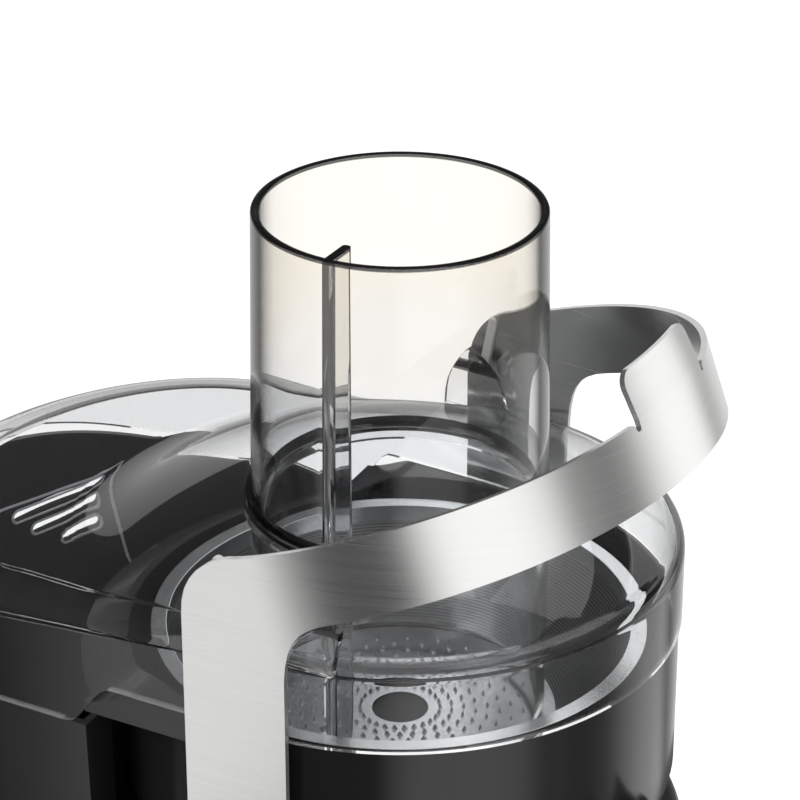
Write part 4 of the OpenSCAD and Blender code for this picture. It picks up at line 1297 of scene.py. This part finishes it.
def make_world():
    """A white surround that diffuse and reflected rays find darker, lighter overhead."""
    world = bpy.data.worlds.new("studio")
    world.use_nodes = True
    tree = world.node_tree
    seen, shiny = seen_straight(tree)
    sky = tree.nodes.new("ShaderNodeTexCoord")
    height = coordinates(tree, sky.outputs["Generated"])["Z"]
    overhead = maths(tree, "MULTIPLY", ramp(tree, height, 0.64, 0.86), 0.3)
    dim = maths(tree, "SUBTRACT", 0.45, maths(
        tree, "MULTIPLY", shiny, maths(tree, "SUBTRACT", 0.35, overhead)))
    fill(tree, tree.nodes["Background"], {
        "Strength": maths(tree, "MAXIMUM", seen, dim), "Color": (1, 1, 1, 1)})
    bpy.context.scene.world = world


def make_floor():
    """The white table, darker in reflections."""
    material, tree, surface = stage_material("floor")
    shader = tree.nodes["Principled BSDF"]
    seen, shiny = seen_straight(tree)
    shade = colour_mix(tree, (0.8, 0.8, 0.8), (0.22, 0.22, 0.22), shiny)
    fill(tree, shader, {"Base Color": shade, "Roughness": 0.9, "Specular IOR Level": 0.0})
    glow = tree.nodes.new("ShaderNodeEmission")
    fill(tree, glow, {"Strength": maths(tree, "MULTIPLY", seen, 0.55)})
    both = tree.nodes.new("ShaderNodeAddShader")
    tree.links.new(shader.outputs[0], both.inputs[0])
    tree.links.new(glow.outputs[0], both.inputs[1])
    tree.links.new(both.outputs[0], surface)
    reach = 9
    stage_object("floor", [(-reach, -reach, 0), (reach, -reach, 0), (reach, reach, 0), (-reach, reach, 0)],
                 [(0, 1, 2, 3)], material)


def make_lights():
    """Three soft lamps that light the plastic but don't show in the metal."""
    aim = Vector((0, 0, 0.22))
    for name, place, size, power in (
            ("key_light", (-1.1, -1.3, 1.9), 1.6, 16),
            ("fill_light", (1.9, -0.6, 1.5), 1.2, 7),
            ("back_light", (-0.2, 2.1, 1.9), 2.0, 16)):
        lamp = bpy.data.lights.new(name, "AREA")
        lamp.shape = "SQUARE"
        lamp.size = size
        lamp.energy = power
        light = new_object(name, lamp)
        light.location = place
        light.rotation_euler = (aim - Vector(place)).to_track_quat("-Z", "Y").to_euler()
        light.visible_glossy = False


def make_camera():
    """The camera over the front of the juicer."""
    camera = bpy.data.cameras.new("camera")
    camera.lens = 144
    camera.sensor_width = 36
    turn, pitch, distance, rise = math.radians(28.43), math.radians(26.68), 0.881, 0.5187
    view = new_object("camera", camera)
    view.location = (SPINDLE_X + distance * math.sin(turn), -distance * math.cos(turn), RIM_Z * MM + rise)
    view.rotation_euler = (math.pi / 2 - pitch, 0, turn)
    bpy.context.scene.camera = view


def make_stage():
    """Surround, floor, reflector, lights, camera and the render's settings."""
    make_world()
    scene = bpy.context.scene
    scene.view_settings.view_transform = "Standard"
    for rays, bounces in (("max", 24), ("transmission", 20), ("transparent_max", 24), ("glossy", 8),
                          ("diffuse", 4)):
        setattr(scene.cycles, rays + "_bounces", bounces)
    make_floor()
    make_reflector()
    make_lights()
    make_camera()


# ---- Operators ----

class JUICER_OT_materials(Operator):
    """Make the finishes and give them to the CAD nodes"""
    bl_idname = "juicer.materials"
    bl_label = "Finishes"

    def execute(self, context):
        MATERIALS.update(make_materials(context.scene.juicer_colours, context.scene.juicer_basket))
        for node, slot in SLOTS.items():
            mesh = frame["nodes"][node].data
            mesh.materials.clear()
            mesh.materials.append(MATERIALS[slot])
        return {"FINISHED"}


class JUICER_OT_stage(Operator):
    """Set up the floor, the lights and the camera"""
    bl_idname = "juicer.stage"
    bl_label = "Stage"

    def execute(self, context):
        make_stage()
        return {"FINISHED"}


class JUICER_OT_lid(Operator):
    """Make the clear lid"""
    bl_idname = "juicer.lid"
    bl_label = "Clear lid"

    def execute(self, context):
        make_lid(context.scene.juicer_lid)
        return {"FINISHED"}


class JUICER_OT_tube(Operator):
    """Make the clear feed tube"""
    bl_idname = "juicer.tube"
    bl_label = "Feed tube"

    def execute(self, context):
        make_tube(context.scene.juicer_lid)
        return {"FINISHED"}


class JUICER_OT_arm(Operator):
    """Make the locking arm"""
    bl_idname = "juicer.arm"
    bl_label = "Locking arm"

    def execute(self, context):
        make_arm(context.scene.juicer_arm)
        return {"FINISHED"}


class JUICER_OT_container(Operator):
    """Make the pulp container with its vented panel"""
    bl_idname = "juicer.container"
    bl_label = "Pulp container"

    def execute(self, context):
        make_container()
        return {"FINISHED"}


class JUICER_OT_cams(Operator):
    """Make the cams of the lid and the pins of the arm"""
    bl_idname = "juicer.cams"
    bl_label = "Cams and pins"

    def execute(self, context):
        make_cams()
        return {"FINISHED"}


class JUICER_OT_grater(Operator):
    """Make the grater disc with its teeth"""
    bl_idname = "juicer.grater"
    bl_label = "Grater"

    def execute(self, context):
        make_grater(context.scene.juicer_basket)
        return {"FINISHED"}


class JUICER_OT_knob(Operator):
    """Make the speed knob with its ribs"""
    bl_idname = "juicer.knob"
    bl_label = "Speed knob"

    def execute(self, context):
        make_knob(context.scene.juicer_knob)
        return {"FINISHED"}


class JUICER_OT_spring(Operator):
    """Make the spring under the interlock pin"""
    bl_idname = "juicer.spring"
    bl_label = "Interlock spring"

    def execute(self, context):
        make_spring()
        return {"FINISHED"}


class JUICER_OT_bowl(Operator):
    """Make the juice bowl with its falling shoulders"""
    bl_idname = "juicer.bowl"
    bl_label = "Juice bowl"

    def execute(self, context):
        smooth_copy("juice_bowl", 0.4, shape=lower_shoulders)
        return {"FINISHED"}


class JUICER_OT_mouldings(Operator):
    """Soften the moulded and turned parts"""
    bl_idname = "juicer.mouldings"
    bl_label = "Mouldings"

    def execute(self, context):
        for node, width in (("motor_housing", 0.5), ("basket_rim", 0.25), ("steel_band", 0.2),
                            ("drip_stop_spout", 0.4), ("rubber_feet", 0.5), ("pivot_caps", 0.4),
                            ("basket_hub", 0.3)):
            smooth_copy(node, width)
        return {"FINISHED"}


class JUICER_PT_panel(Panel):
    """Lists the juicer's operators"""
    bl_idname = "JUICER_PT_panel"
    bl_label = "Juicer"
    bl_space_type = "VIEW_3D"
    bl_region_type = "UI"
    bl_category = "Juicer"

    def draw(self, context):
        for operator in OPERATORS:
            self.layout.operator(operator.bl_idname)


GROUPS = {"juicer_lid": JuicerLidSizes, "juicer_arm": JuicerArmSizes,
          "juicer_basket": JuicerBasketSizes, "juicer_knob": JuicerKnobSizes,
          "juicer_colours": JuicerColours}
OPERATORS = (JUICER_OT_materials, JUICER_OT_stage, JUICER_OT_lid, JUICER_OT_tube, JUICER_OT_arm,
             JUICER_OT_spring, JUICER_OT_bowl, JUICER_OT_container, JUICER_OT_cams, JUICER_OT_grater,
             JUICER_OT_knob, JUICER_OT_mouldings)
CLASSES = (*GROUPS.values(), *OPERATORS, JUICER_PT_panel)


def register():
    """Adds the classes and their sizes to Blender."""
    for entry in CLASSES:
        bpy.utils.register_class(entry)
    for name, group in GROUPS.items():
        setattr(bpy.types.Scene, name, PointerProperty(type=group))


def unregister():
    """Takes the classes and their sizes out again."""
    for name in GROUPS:
        delattr(bpy.types.Scene, name)
    for entry in reversed(CLASSES):
        bpy.utils.unregister_class(entry)


def main():
    """Makes the whole juicer in order."""
    register()
    for operator in OPERATORS:
        group, name = operator.bl_idname.split(".")
        getattr(getattr(bpy.ops, group), name)()


if __name__ == "__main__":
    main()
